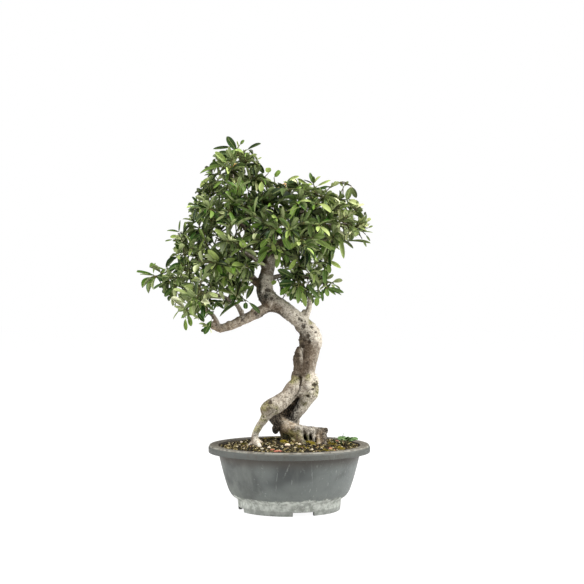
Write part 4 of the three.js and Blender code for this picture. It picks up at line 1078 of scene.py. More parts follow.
# %% [markdown]
# ## Single stones, bark chips and moss
#
# A few pieces are big enough to be known one by one: a pinkish pebble, chips of red bark, and
# cushions of moss. Each stone is a small sphere pushed about by noise. A cushion is a low dome
# with hundreds of tiny pointed shoots scattered on it by the same tree as the grit.
#
# %% Stones and chips
# x, y, size in three directions, and the tone that picks its colour
STONES = [(-2, -50, (4.2, 3.2, 3.2), 0.05), (55, -56, (3.4, 2.4, 2.6), 0.45),
          (-15, -80, (6, 2.6, 1.6), 0.5), (-27, -58, (2.6, 2.2, 1.8), 0.1), (-36, -64, (2.4, 2, 1.6), 0.2),
          (8, -66, (2.6, 2, 1.8), 0.3), (60, -60, (2.2, 2, 1.6), 0.5), (30, -70, (2.8, 2.2, 1.8), 0.15),
          (-60, -50, (2.8, 2.2, 2), 0.3), (-22, -72, (3, 2, 1.5), 0.48), (76, -30, (5.5, 2, 1.4), 0.9),
          (84, -24, (4.6, 1.8, 1.2), 0.95), (-70, -30, (2.6, 2, 1.8), 0.25),
          (14, -44, (2.2, 1.9, 1.6), 0.12), (-8, -62, (2.4, 2, 1.8), 0.2), (40, 50, (3, 2.4, 2), 0.2),
          (-40, 46, (3.4, 2.6, 2), 0.3), (-8, 66, (2.8, 2.2, 2), 0.1), (66, 22, (3, 2.2, 1.6), 0.5),
          (-66, 12, (2.8, 2.2, 1.8), 0.15), (20, 76, (3, 2, 1.6), 0.9)]
random.seed(55)
stone_vertices, stone_faces, stone_tones = [], [], []
for x, y, size, stone_tone in STONES:
    shape = bmesh.new()
    bmesh.ops.create_icosphere(shape, subdivisions=3, radius=1)
    turned = Matrix.Rotation(random.uniform(0, 3.1), 3, "Z")
    first = len(stone_vertices)
    for vertex in shape.verts:
        knobbly = 1 + 0.3 * grain(vertex.co, 1.1, x) + 0.12 * grain(vertex.co, 3.1, y)
        place = turned @ Vector(c * knobbly * half for c, half in zip(vertex.co, size))
        stone_vertices.append(at(x + place.x, y + place.y, soil_height(x, y) + 0.6 + place.z))
        stone_tones.append(stone_tone)
    stone_faces += [tuple(first + v.index for v in face.verts) for face in shape.faces]
    shape.free()
pebbles = Finish("single_stones", Roughness=0.75, Specular_IOR_Level=0.35)
stone_grain = pebbles.noise(500, 4, 0.65)
stone_ramp = pebbles.ramp(
    pebbles.attribute("tone"), (0.0, (222, 198, 176)), (0.2, (196, 186, 160)), (0.34, (150, 134, 100)),
    (0.42, (186, 112, 88)), (0.55, (150, 92, 78)), (0.85, (58, 44, 30)), (1.0, (34, 26, 18)))
pebbles.set(Base_Color=pebbles.mix(stone_grain.step(0.5, 0.72) * 0.5, stone_ramp, (96, 80, 62)))
stones = new_piece("soil_stones", stone_vertices, stone_faces, pebbles.bump(stone_grain, 0.4))
point_attribute(stones.data, "tone", stone_tones)
finished(stones, "soil")

# %% Cushions of moss
# x, y, radius and height in millimetres
CUSHIONS = [(17, -57, 5.5, 2), (24, -63, 4, 1.4), (27, -30, 9, 2.4), (33, -40, 6, 1.8), (-8, -26, 9, 2.2),
            (68, -46, 8, 1.6), (-44, -62, 5, 1.4), (58, -20, 8, 1.8), (-62, -14, 7, 1.6), (0, -38, 5, 1.4),
            (8, 40, 12, 2), (-30, 22, 10, 2), (48, -66, 5, 1.4)]
dome_vertices, dome_faces = [], []
DOME_RINGS, DOME_SIDES = 5, 20
for x, y, radius, height in CUSHIONS:
    dome_faces += turned_faces(DOME_RINGS, DOME_SIDES, first=len(dome_vertices))
    dome_vertices.append(at(x, y, soil_height(x, y) + height))
    for ring in range(1, DOME_RINGS + 1):
        share = ring / DOME_RINGS
        for angle in angles(DOME_SIDES):
            out = radius * share * (1 + 0.2 * math.sin(3 * angle + x))
            px, py = x + out * math.cos(angle), y + out * math.sin(angle)
            lift = height * (1 - share**2) - 0.8 * share**4
            dome_vertices.append(at(px, py, soil_height(px, py) + lift))
moss = Finish("moss", Roughness=0.95, Specular_IOR_Level=0.15)
moss_tone = moss.mix(moss.attribute("tone"), (88, 84, 16), (172, 150, 50))
moss.set(Base_Color=moss.mix(moss.noise(60, 3).step(0.45, 0.6) * 0.7, moss_tone, (58, 62, 18)))
moss.bump(moss.noise(1500, 2), 0.2)
shoot_shape = bmesh.new()
bmesh.ops.create_cone(shoot_shape, cap_ends=True, segments=5, radius1=0.42, radius2=0.04, depth=2)
moss_shoot = from_shape("moss_shoot", shoot_shape)
domes = new_piece("moss_domes", dome_vertices, dome_faces)
cushions = grown(domes, scatter, "moss_cushions", {
    "Shape": moss_shoot, "Density": 1.5e6, "Smallest": 0.45 * MM,
    "Largest": 0.95 * MM, "Seed": 7, "Finish": moss.material})
finished(cushions, "soil")
for shape in (pebble, chip, moss_shoot):
    bpy.data.objects.remove(shape)

# %% [markdown]
# ## Leaves from the solids
#
# The crown's solids hold the place of every leaf as a thin slab with five corners on each side.
# Real leaves are curved blades on short stalks, several to a node. So each slab is read back as a
# leaf: its foot, its direction, the way it faces, its length and width. More leaves are then set
# round the same foot, as firethorn carries them in tufts.
#
# %% Read the leaves back from the solids
SLAB_MM = 0.7
WAIST, SAG_AT_WAIST = 0.32, 0.32**2
# Shares of the length from the waist to the widest place and on to the tip, and the sag over the last
WAIST_TO_WIDEST, WIDEST_TO_TIP, SAG_TO_TIP = 0.36, 0.32, 0.5376
WAIST_WIDTH = 0.82


def merged(mesh):
    """The distinct places of a mesh of loose triangles, in mm, and the edges between them."""
    spots = positions(mesh) / MM
    keys, index = np.unique(np.round(spots, 3), axis=0, return_inverse=True)
    index = index.reshape(-1)
    edges = set()
    for polygon in mesh.polygons:
        ring = [index[v] for v in polygon.vertices]
        for a, b in zip(ring, ring[1:] + ring[:1]):
            if a != b:
                edges.add((min(a, b), max(a, b)))
    return keys, edges


def leaf_slabs(mesh):
    """The leaves of a spray's solid, and the places that belong to its twigs."""
    keys, edges = merged(mesh)
    gaps = np.linalg.norm(keys[:, None] - keys[None], axis=2)
    partner = {}
    for a, b in zip(*np.where(np.abs(gaps - SLAB_MM) < 0.004)):
        if (min(a, b), max(a, b)) in edges:
            partner.setdefault(a, []).append(b)
    pairs, owner = [], {}
    for a, others in partner.items():
        if len(others) == 1 and len(partner[others[0]]) == 1 and a < others[0]:
            owner[a] = owner[others[0]] = len(pairs)
            pairs.append((a, others[0]))
    links = {k: set() for k in range(len(pairs))}
    for a, b in edges:
        if a in owner and b in owner and owner[a] != owner[b]:
            links[owner[a]].add(owner[b])
            links[owner[b]].add(owner[a])
    leaves, used, seen_pairs = [], set(), set()
    for start in links:
        if start in seen_pairs:
            continue
        group, queue = [], [start]
        seen_pairs.add(start)
        while queue:
            here = queue.pop()
            group.append(here)
            for after in links[here] - seen_pairs:
                seen_pairs.add(after)
                queue.append(after)
        found = leaf_from([(keys[pairs[g][0]], keys[pairs[g][1]]) for g in group])
        if found:
            leaves.append(found)
            used.update(v for g in group for v in pairs[g])
    return leaves, np.array([k for i, k in enumerate(keys) if i not in used])


def leaf_from(group):
    """A leaf from its five pairs of corners, or nothing if they aren't one."""
    if len(group) != 5:
        return None
    middles = [(a + b) / 2 for a, b in group]
    facing = (group[0][0] - group[0][1]) / SLAB_MM
    for tip in range(5):
        others = [k for k in range(5) if k != tip]
        for partner in others[1:]:
            first = (others[0], partner)
            second = tuple(k for k in others if k not in first)
            widths = [middles[b] - middles[a] for a, b in (first, second)]
            lengths = [np.linalg.norm(w) for w in widths]
            if abs(widths[0] @ widths[1]) < 0.9995 * lengths[0] * lengths[1]:
                continue
            if abs(min(lengths) / max(lengths) - WAIST_WIDTH) > 0.01:
                continue
            wide, waist = (first, second) if lengths[0] > lengths[1] else (second, first)
            p_waist = (middles[waist[0]] + middles[waist[1]]) / 2
            p_wide = (middles[wide[0]] + middles[wide[1]]) / 2
            rise, tip_rise = (p_wide - p_waist) / WAIST_TO_WIDEST, (middles[tip] - p_wide) / WIDEST_TO_TIP
            if rise @ tip_rise < 0:
                continue
            sag = -(rise @ facing)
            towards = rise + facing * sag
            tip_place = p_wide + towards * WIDEST_TO_TIP - facing * sag * SAG_TO_TIP
            if np.linalg.norm(middles[tip] - tip_place) > 0.05:
                continue
            root = p_waist - towards * WAIST + facing * sag * SAG_AT_WAIST
            length = float(np.linalg.norm(towards))
            return SimpleNamespace(root=Vector(root), towards=Vector(towards / length),
                                   facing=Vector(facing * (1 if sag >= 0 else -1)),
                                   length=length, width=float(max(lengths)))
    return None


sprays = {}
for name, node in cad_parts.items():
    if name.startswith("spray_"):
        leaves, rest = leaf_slabs(node.data)
        sprays[name] = SimpleNamespace(leaves=leaves, stems=rest)
print("leaves found in the solids:", sum(len(s.leaves) for s in sprays.values()),
      "in", len(sprays), "sprays; fewest in one:", min(len(s.leaves) for s in sprays.values()))

# %% [markdown]
# ## Twigs
#
# A shoot is a thin brown twig that forks. What is left of a solid without its leaves are the
# corners of its twig. Corners that lie close together give one place on it, and the shortest net
# that ties these places to the wood gives the way the twig runs.
#
# %% Twigs from the rest of the solids
TWIG_LINK_MM = 3.3


def clusters(points, link):
    """The middles of groups of points, where each point is within the link of another."""
    tree = find_tree(points)
    left, result = set(range(len(points))), []
    while left:
        queue, group = [left.pop()], []
        while queue:
            here = queue.pop()
            group.append(points[here])
            for _, k, _ in tree.find_range(points[here], link):
                if k in left:
                    left.remove(k)
                    queue.append(k)
        result.append(Vector(np.mean(group, axis=0)))
    return result


def shortest_net(places, start):
    """A tree over the places as a list of (parent, child), grown from the start."""
    joined, net = [start], []
    waiting = {k: ((p - places[start]).length, start) for k, p in enumerate(places) if k != start}
    while waiting:
        k = min(waiting, key=lambda key: waiting[key][0])
        net.append((waiting.pop(k)[1], k))
        joined.append(k)
        for other, (distance, _) in list(waiting.items()):
            nearer = (places[other] - places[k]).length
            if nearer < distance:
                waiting[other] = (nearer, k)
    return net


def chains(net, start):
    """The net as long runs, each from a fork or the start to a tip."""
    children = {}
    for a, b in net:
        children.setdefault(a, []).append(b)
    size = {}

    def weigh(k):
        size[k] = 1 + sum(weigh(c) for c in children.get(k, []))
        return size[k]

    weigh(start)
    runs, queue = [], [(None, start)]
    while queue:
        fork, k = queue.pop()
        run = [k] if fork is None else [fork, k]
        while children.get(k):
            follow = sorted(children[k], key=lambda c: -size[c])
            queue += [(k, c) for c in follow[1:]]
            k = follow[0]
            run.append(k)
        if len(run) > 1:
            runs.append(run)
    return runs


WOOD_BVH = BVHTree.FromPolygons([Vector(v) for v in moved],
                                [tuple(p.vertices) for p in wood.data.polygons])
DEPTH_IN_WOOD_MM = 1.5


def into_wood(place):
    """The nearest place a little inside the wood, in the same millimetres as the solids."""
    spot, normal, _, _ = WOOD_BVH.find_nearest(Vector(place) * MM)
    return (spot - normal * DEPTH_IN_WOOD_MM * MM) / MM


twig_runs = {}
for name, spray in sprays.items():
    places = clusters([Vector(p) for p in spray.stems], TWIG_LINK_MM)
    start = min(range(len(places)), key=lambda k: (into_wood(places[k]) - places[k]).length)
    runs = chains(shortest_net(places, start), start)
    spray.foot = into_wood(places[start])
    twig_runs[name] = [[places[k] for k in run] for run in runs]
    if twig_runs[name]:
        twig_runs[name][0].insert(0, spray.foot)
print("twig runs:", sum(len(r) for r in twig_runs.values()))

# %% Tufts of leaves
# How many extra leaves stand round each foot, and how much slimmer than its slab a leaf is
EXTRA_LEAVES = 2.0
LEAF_SLIMMING = 0.62
random.seed(83)


def make_leaf(root, towards, facing, length, width):
    """A leaf whose upper side faces as near to the wanted side as its direction lets it."""
    towards = towards.normalized()
    facing = facing - towards * facing.dot(towards)
    if facing.length < 0.05:
        facing = towards.orthogonal()
    return SimpleNamespace(root=root, towards=towards, facing=facing.normalized(),
                           length=length, width=width)


def turned_leaf(leaf, lean, roll, share):
    """A sister leaf from the same foot, leaning away from the first."""
    axis = Quaternion(leaf.towards, roll) @ leaf.towards.cross(leaf.facing).normalized()
    turn_by = Quaternion(axis, lean)
    facing = turn_by @ leaf.facing + Vector((0, 0, 0.55))
    return make_leaf(leaf.root, turn_by @ leaf.towards, facing, leaf.length * share,
                     leaf.length * share * random.uniform(0.19, 0.3))


for spray in sprays.values():
    spray.tuft = []
    for leaf in spray.leaves:
        leaf.width *= LEAF_SLIMMING
        count = int(EXTRA_LEAVES) + (random.random() < EXTRA_LEAVES % 1)
        for _ in range(count):
            spray.tuft.append(turned_leaf(leaf, random.uniform(0.5, 1.25),
                                          random.uniform(0, 2 * math.pi), random.uniform(0.42, 0.9)))
print("leaves added:", sum(len(s.tuft) for s in sprays.values()))

# %% [markdown]
# ## Short shoots that fill the crown
#
# The solids keep only the main shoots. A real crown is filled by short shoots between them, each
# with a tuft of leaves. A place in the crown is drawn at random, from a fixed seed. If no leaf is
# near, a thin shoot grows to it from the nearest twig. The crown's outline in the front view and
# its depth limit where places are drawn.
#
# %% The room that the crown fills
# x and z in millimetres, seen from the front; the depth grows away from this line
CROWN_OUTLINE = [
    (-174, 292), (-178, 308), (-181, 319), (-174, 329), (-167, 337), (-156, 341), (-156, 353),
    (-159, 366), (-161, 374), (-154, 378), (-148, 382), (-142, 389), (-137, 396), (-138, 406),
    (-143, 414), (-139, 422), (-132, 432), (-127, 441), (-117, 447), (-109, 452), (-108, 462),
    (-105, 472), (-104, 483), (-98, 491), (-87, 495), (-76, 496), (-66, 499), (-55, 495),
    (-47, 491), (-43, 484), (-39, 477), (-35, 468), (-32, 458), (-27, 451), (-18, 452), (-10, 451),
    (0, 450), (9, 451), (20, 448), (30, 446), (42, 443), (53, 439), (60, 432), (70, 428), (79, 428),
    (89, 425), (97, 418), (104, 408), (111, 400), (112, 389), (107, 381), (96, 373), (86, 368),
    (77, 366), (70, 362), (63, 358), (59, 351), (59, 340), (57, 327), (55, 315), (52, 302),
    (46, 292), (37, 285), (26, 290), (19, 283), (11, 286), (2, 289), (-6, 294), (-13, 300),
    (-16, 311), (-14, 324), (-10, 336), (-7, 345), (-18, 345), (-29, 340), (-39, 331), (-47, 320),
    (-54, 309), (-61, 298), (-68, 289), (-76, 278), (-88, 278), (-99, 278), (-106, 271),
    (-112, 260), (-123, 256), (-134, 264), (-143, 264), (-150, 274), (-160, 279), (-168, 286)]
# Places that stay open to the sky: x, z and radius
CROWN_WINDOWS = [(-78, 380, 10), (-68, 387, 9), (-130, 390, 6), (-109, 360, 6), (-6, 342, 6), (16, 389, 4),
                 (49, 420, 5), (77, 382, 4), (-147, 357, 5), (-130, 412, 4), (-100, 398, 4), (-28, 465, 3),
                 (58, 432, 4), (-97, 372, 4), (-142, 300, 4), (-120, 276, 5), (-88, 296, 4)]
DEPTH_AT_EDGE, DEPTH_GROWTH, MOST_DEPTH = 12, 1.15, 66
AXIS_MM = AXIS_X / MM


def seen(place):
    """Where a place in the solids' millimetres is seen by the camera, on the plane y = 0."""
    nearer = EYE_DISTANCE / (EYE_DISTANCE + place.y)
    aside = place.x - AXIS_MM - EYE_ASIDE
    return EYE_ASIDE + aside * nearer, EYE_HEIGHT + (place.z - EYE_HEIGHT) * nearer


def seen_at(x, z, y):
    """The place at depth y that the camera sees at x, z of the plane y = 0."""
    farther = (EYE_DISTANCE + y) / EYE_DISTANCE
    height = EYE_HEIGHT + (z - EYE_HEIGHT) * farther
    return Vector((EYE_ASIDE + (x - EYE_ASIDE) * farther + AXIS_MM, y, height))


def kept_inside(leaves):
    """The leaves whose tips are seen in the crown's outline; one that is too long is shortened."""
    result = []
    for leaf in leaves:
        for share in (1, 0.7):
            x, z = seen(leaf.root + leaf.towards * leaf.length * share)
            if inside_outline(x, z) and not in_window(x, z):
                leaf.length, leaf.width = leaf.length * share, leaf.width * share
                result.append(leaf)
                break
    return result


def in_window(x, z):
    return any(math.hypot(x - wx, z - wz) < radius for wx, wz, radius in CROWN_WINDOWS)


def inside_outline(x, z):
    result = False
    for (x0, z0), (x1, z1) in zip(CROWN_OUTLINE, CROWN_OUTLINE[1:] + CROWN_OUTLINE[:1]):
        if (z0 > z) != (z1 > z) and x < x0 + (z - z0) / (z1 - z0) * (x1 - x0):
            result = not result
    return result


def from_edge(x, z):
    """How far a place of the front view is from the crown's outline."""
    return row_distance(np.array([[x, z]]), CROWN_OUTLINE + CROWN_OUTLINE[:1])[0]


def crown_depth(x, z):
    """Half the depth of the crown there, or 0 outside it and in its windows."""
    if in_window(x, z) or not inside_outline(x, z):
        return 0
    return min(DEPTH_AT_EDGE + DEPTH_GROWTH * from_edge(x, z), MOST_DEPTH)


def leaf_middles(leaves):
    """A place a little past the middle of each leaf."""
    return [tuple(leaf.root + leaf.towards * leaf.length * 0.55) for leaf in leaves]


# %% Grow the short shoots
PLACES_TRIED, LEAF_ROOM_MM, MORE_ROOM_LEFT_MM = 5200, 10.5, 1.5
LEAST_SHOOT_MM, MOST_SHOOT_MM = 9, 50
# The turn in radians round a stem from one leaf, stalk or bud to the next
SPIRAL_TURN = 2.4
# Left of the first line leaves are few and slim, and left of the second they are small
FEW_LEFT_MM, FINE_LEFT_MM = -185, -85
# Limbs that carry shoots: above this height, and thinner than this
CROWN_FOOT_MM, MOST_LIMB_MM = 262, 8
random.seed(2024)
own_places = [(p, name) for name, runs in twig_runs.items() for run in runs for p in run]
twig_tree = find_tree([place for place, _ in own_places])
anchors = [place for place, _ in own_places]
anchors += [Vector((x + AXIS_MM, y, z)) for curve in limb_curves.values()
            for x, y, z, radius in curve if z > CROWN_FOOT_MM and radius < MOST_LIMB_MM]
anchor_tree = find_tree(anchors)


def owner_of(place):
    """The spray whose twigs come nearest to a place."""
    return own_places[twig_tree.find(place)[1]][1]


for spray in sprays.values():
    spray.tuft = kept_inside(spray.tuft)
    for leaf in spray.leaves:
        tip_x, tip_z = seen(leaf.root + leaf.towards * leaf.length)
        if tip_x < FEW_LEFT_MM:
            leaf.width *= 0.45
        elif not inside_outline(tip_x, tip_z):
            leaf.width *= 0.8
            for share in (0.85, 0.7, 0.55):
                if inside_outline(*seen(leaf.root + leaf.towards * leaf.length * share)):
                    break
            leaf.length *= share
taken = [p for spray in sprays.values() for p in leaf_middles(spray.leaves + spray.tuft)]
short_shoots = []
for _ in range(PLACES_TRIED):
    x, z, way = random.uniform(-176, 107), random.uniform(254, 492), random.uniform(-1, 1)
    depth = crown_depth(x, z)
    if not depth:
        continue
    tip = seen_at(x, z, way * depth)
    fine_left = x < FINE_LEFT_MM
    room = LEAF_ROOM_MM + MORE_ROOM_LEFT_MM * fine_left
    if np.min(np.linalg.norm(np.array(taken) - np.array(tip), axis=1)) < room:
        continue
    foot, _, distance = anchor_tree.find(tip)
    if not LEAST_SHOOT_MM < distance < MOST_SHOOT_MM:
        continue
    outward = (tip - Vector((AXIS_MM - 40, 0, 350))).normalized()
    run = (tip - foot).normalized()
    ahead = (run + outward * 0.45 + Vector((0, 0, 0.25))).normalized()
    leaves = []
    count = random.randint(5, 8)
    for k in range(count):
        roll = SPIRAL_TURN * k + random.uniform(-0.4, 0.4)
        lean = 0.25 + 1.05 * (k + 0.5) / count + random.uniform(-0.15, 0.15)
        side = Quaternion(ahead, roll) @ ahead.orthogonal().normalized()
        towards = Quaternion(side, lean) @ ahead
        length = random.uniform(14, 28) * (0.75 if k < 2 else 1) * (0.8 if fine_left or x > 70 else 1)
        leaves.append(make_leaf(tip - run * 0.8 * k, towards, Vector((0, 0, 0.9)) + ahead * 0.5,
                                length, length * random.uniform(0.18, 0.29)))
    for share in (0.45, 0.72):
        if distance > 20 and random.random() < 0.8:
            side = Quaternion(run, random.uniform(0, 6.28)) @ run.orthogonal().normalized()
            length = random.uniform(12, 20)
            arch = Vector((0, 0, 0.1 * distance)) * share
            leaves.append(make_leaf(foot + (tip - foot) * share + arch, run * 0.5 + side,
                                    Vector((0, 0, 1)), length, length * 0.28))
    leaves = kept_inside(leaves)
    taken += leaf_middles(leaves)
    middle = (foot + tip) / 2 + Vector((0, 0, 0.1 * distance))
    short_shoots.append(SimpleNamespace(owner=owner_of(tip), places=[foot, middle, tip], leaves=leaves))

# %% Leaves that are known one by one
# Foot x, z and tip x, z as seen on the plane y = 0, width, depth y, tone and kind of leaf
SINGLE_LEAVES = [
    (-71, 490, -86, 512, 9.6, -8, 0.3, 0), (-69, 494, -72, 506, 2.2, 0, 0.8, 0),
    (-68, 500, -62, 507, 4.7, 0, 0.5, 0), (-60, 492, -40, 504, 4.1, -4, 0.25, 1),
    (-77, 497, -105, 496, 4.8, 4, 0.3, 1), (-68, 483, -97, 491, 5.5, -10, 0.35, 0),
    (-83, 473, -102, 491, 6.9, -22, 0.68, 0), (-84, 476, -110, 472, 8.2, -12, 0.42, 0),
    (-86, 473, -124, 465, 6.2, -20, 0.58, 1), (-46, 478, -35, 462, 6.9, -4, 0.3, 1),
    (-44, 480, -38, 483, 2.2, 0, 0.8, 0), (-29, 461, -29, 469, 8.2, -4, 0.72, 3),
    (-21, 455, -13, 465, 6.3, 0, 0.62, 3), (-38, 451, -39, 436, 7.4, -30, 0.78, 0),
    (-71, 458, -60, 437, 6.9, -42, 0.5, 0), (-72, 452, -68, 430, 6.9, -46, 0.6, 1),
    (-73, 440, -94, 429, 5.8, -44, 0.5, 0), (-84, 429, -84, 411, 5.5, -48, 0.78, 0),
    (-104, 422, -117, 403, 6.9, -40, 0.62, 1), (-115, 425, -127, 441, 6.9, -16, 0.22, 0),
    (-112, 424, -128, 429, 5.5, -18, 0.3, 0), (-97, 463, -110, 451, 5.5, -14, 0.2, 0),
    (-5, 450, 13, 458, 4.4, -4, 0.8, 1), (28, 443, 11, 454, 4.4, -8, 0.76, 0),
    (33, 447, 28, 462, 5, -6, 0.42, 1), (37, 443, 57, 452, 3.6, -6, 0.78, 0),
    (33, 436, 53, 444, 3.8, -12, 0.45, 1), (1, 436, -2, 447, 5, -14, 0.18, 0),
    (6, 436, 17, 443, 5.5, -16, 0.6, 0), (75, 443, 81, 450, 4.4, 0, 0.45, 3),
    (74, 443, 70, 448, 3.6, 0, 0.4, 3), (85, 444, 79, 425, 8.5, -12, 0.42, 0),
    (85, 444, 92, 428, 7.2, -10, 0.36, 1), (79, 425, 96, 419, 7.2, -10, 0.8, 0),
    (66, 415, 49, 433, 5, -14, 0.66, 0), (57, 406, 94, 408, 5.5, -20, 0.68, 1),
    (67, 411, 83, 418, 4.4, -16, 0.6, 0), (96, 415, 99, 408, 4.7, -4, 0.25, 3),
    (103, 403, 105, 408, 3.6, -4, 0.25, 0), (105, 395, 112, 399, 5.5, -6, 0.8, 3),
    (108, 386, 115, 389, 2.8, -4, 0.6, 0), (99, 381, 115, 380, 1.9, -6, 0.62, 0),
    (77, 368, 112, 368, 3.3, -8, 0.5, 1), (75, 370, 88, 358, 4.4, -14, 0.3, 0),
    (100, 371, 106, 360, 3, -8, 0.45, 0), (105, 377, 111, 368, 2.8, -8, 0.42, 0),
    (67, 382, 75, 344, 6.9, -26, 0.56, 0), (82, 386, 85, 370, 5.5, -20, 0.35, 0),
    (88, 389, 93, 375, 6.9, -20, 0.56, 3), (49, 370, 63, 355, 5.8, -30, 0.58, 0),
    (45, 353, 56, 348, 7.7, -24, 0.5, 3), (-187, 322, -185, 338, 2.8, 0, 0.66, 1),
    (-182, 320, -192, 315, 5, 0, 0.6, 0), (-185, 316, -197, 308, 2.8, 0, 0.6, 1),
    (-163, 312, -181, 320, 9.6, -8, 0.3, 3), (-171, 311, -179, 304, 5, 0, 0.36, 0),
    (-178, 320, -171, 330, 5, 4, 0.6, 0), (-145, 338, -167, 330, 8.2, -14, 0.4, 1),
    (-156, 308, -172, 292, 6.3, -10, 0.42, 0), (-145, 375, -143, 395, 4.1, -6, 0.64, 0),
    (-152, 378, -150, 397, 2.6, 0, 0.5, 0), (-135, 375, -135, 395, 6.3, -10, 0.66, 0),
    (-150, 380, -168, 384, 3.6, 0, 0.45, 1), (-148, 373, -164, 374, 5.5, -8, 0.7, 0),
    (-159, 370, -171, 368, 2.2, 0, 0.6, 0), (-157, 370, -148, 352, 6.9, -14, 0.46, 1),
    (-113, 380, -137, 367, 8.2, -30, 0.42, 1), (-116, 373, -124, 356, 2.8, -36, 0.72, 0),
    (-93, 338, -112, 356, 7.7, -46, 0.76, 0), (-93, 336, -76, 345, 5.8, -50, 0.7, 1),
    (-91, 334, -73, 322, 6.9, -50, 0.66, 0), (-123, 312, -135, 345, 5.5, -40, 0.32, 1),
    (-123, 307, -139, 271, 4.4, -40, 0.66, 1), (-143, 263, -142, 245, 5.5, -10, 0.66, 0),
    (-138, 267, -135, 251, 6.3, -12, 0.6, 0), (-106, 261, -117, 240, 8.2, -30, 0.42, 0),
    (-128, 271, -117, 257, 6.3, -20, 0.34, 0), (-116, 271, -104, 268, 5.5, -30, 0.4, 0),
    (-109, 274, -111, 282, 2.2, -24, 0.5, 0), (-106, 272, -106, 282, 2.2, -24, 0.5, 0),
    (-104, 272, -101, 283, 2.8, -24, 0.4, 1), (-65, 286, -98, 268, 5.8, -30, 0.36, 1),
    (-102, 285, -90, 275, 5.5, -22, 0.35, 0), (-149, 275, -161, 261, 1.9, -6, 0.75, 1),
    (-117, 297, -115, 279, 5.5, -46, 0.9, 0), (-112, 297, -98, 292, 5.5, -46, 0.84, 0),
    (-60, 286, -50, 308, 6.9, -34, 0.28, 1), (-60, 285, -60, 275, 6.3, -34, 0.36, 3),
    (-57, 285, -40, 270, 5.5, -36, 0.36, 1), (-65, 287, -73, 282, 4.1, -30, 0.5, 0),
    (-17, 314, -24, 309, 5.5, -20, 0.68, 3), (11, 314, -16, 329, 9.6, -30, 0.38, 0),
    (11, 311, -14, 309, 10.2, -34, 0.3, 0), (4, 308, -13, 294, 6.9, -30, 0.56, 0),
    (8, 301, 1, 286, 5.8, -28, 0.3, 0), (13, 309, 12, 282, 7.2, -36, 0.52, 0),
    (17, 301, 23, 278, 6.3, -34, 0.66, 1), (19, 311, 23, 290, 6.3, -26, 0.2, 0),
    (22, 311, 41, 289, 6.3, -34, 0.42, 0), (39, 293, 37, 279, 7.2, -30, 0.64, 1),
    (45, 304, 46, 285, 4.1, -26, 0.42, 0), (50, 304, 53, 292, 6.3, -22, 0.55, 0),
    (50, 305, 75, 298, 5, -20, 0.46, 1), (50, 304, 72, 294, 4.1, -18, 0.36, 0),
    (50, 304, 64, 294, 4.4, -20, 0.5, 0), (52, 342, 71, 331, 6.3, -20, 0.74, 0),
    (52, 340, 56, 324, 6.3, -24, 0.62, 1), (50, 338, 49, 309, 6.6, -26, 0.46, 0),
    (-11, 356, -18, 331, 6.3, -40, 0.62, 0), (-6, 351, -2, 338, 5.8, -36, 0.5, 0),
    (11, 345, 0, 329, 5.8, -40, 0.7, 0), (-82, 403, -54, 392, 6.9, -56, 0.45, 1),
    (-25, 378, -68, 370, 5.5, -60, 0.5, 1), (-27, 374, -40, 359, 6.9, -60, 0.6, 0),
    (-68, 370, -61, 360, 8.8, -58, 0.7, 3), (-29, 356, -43, 338, 6.1, -56, 0.55, 0),
    (-24, 366, -20, 353, 6.3, -56, 0.7, 0), (-6, 400, 4, 374, 6.9, -62, 0.74, 0),
    (-3, 395, 16, 370, 5, -58, 0.58, 1), (-18, 392, -20, 363, 5.5, -60, 0.5, 0),
    (-11, 380, 1, 356, 8.2, -62, 0.55, 0), (17, 371, 0, 358, 6.3, -58, 0.66, 0),
    (17, 373, 39, 340, 5, -58, 0.72, 0), (22, 366, 26, 340, 8.2, -54, 0.38, 0),
    (28, 373, 60, 358, 6.1, -56, 0.62, 1), (27, 403, 30, 373, 6.3, -56, 0.45, 0),
    (31, 373, 49, 375, 8.2, -50, 0.55, 0), (-80, 378, -75, 362, 7.4, -40, 0.58, 0),
    (-71, 362, -69, 340, 5, -50, 0.16, 0), (-7, 408, 15, 415, 1.9, -60, 0.78, 0),
    (-27, 408, -16, 395, 5, -58, 0.72, 0), (-32, 412, -22, 408, 2.2, -58, 0.8, 0),
    (-79, 404, -97, 408, 3.6, -56, 0.88, 0), (-84, 406, -101, 396, 2.8, -56, 0.85, 0),
    (-54, 389, -38, 389, 6.1, -58, 0.6, 0), (-115, 366, -124, 386, 4.1, -34, 0.62, 0),
    (-124, 406, -113, 389, 5.5, -30, 0.66, 1), (-106, 439, -93, 450, 4.7, -34, 0.6, 0),
    (-64, 418, -84, 421, 6.1, -50, 0.52, 1), (-54, 425, -38, 418, 6.9, -44, 0.28, 0),
    (-27, 430, -11, 440, 9.6, -34, 0.16, 3), (-18, 424, -2, 429, 8.2, -36, 0.18, 1)]
random.seed(66)
for x0, z0, x1, z1, width, y, leaf_tone, kind in SINGLE_LEAVES:
    foot, tip = seen_at(x0, z0, y), seen_at(x1, z1, y - 2)
    facing = Vector((random.uniform(-0.25, 0.25), -1, random.uniform(0.1, 0.6)))
    leaf = make_leaf(foot, tip - foot, facing, (tip - foot).length, width)
    leaf.tone, leaf.kind = leaf_tone, kind
    leaf.dry = 0.45 if x0 > 52 else random.uniform(0, 0.25)
    anchor, _, distance = anchor_tree.find(foot + (foot - tip) * 0.5)
    middle = (foot + anchor) / 2 + (foot - tip).normalized() * 0.2 * distance
    places = [anchor, middle, foot]
    short_shoots.append(SimpleNamespace(owner=owner_of(foot), places=places, leaves=[leaf]))
print("short shoots:", len(short_shoots), "with", sum(len(s.leaves) for s in short_shoots), "leaves")
for shoot in short_shoots:
    sprays[shoot.owner].tuft += shoot.leaves
    twig_runs[shoot.owner].append(shoot.places)

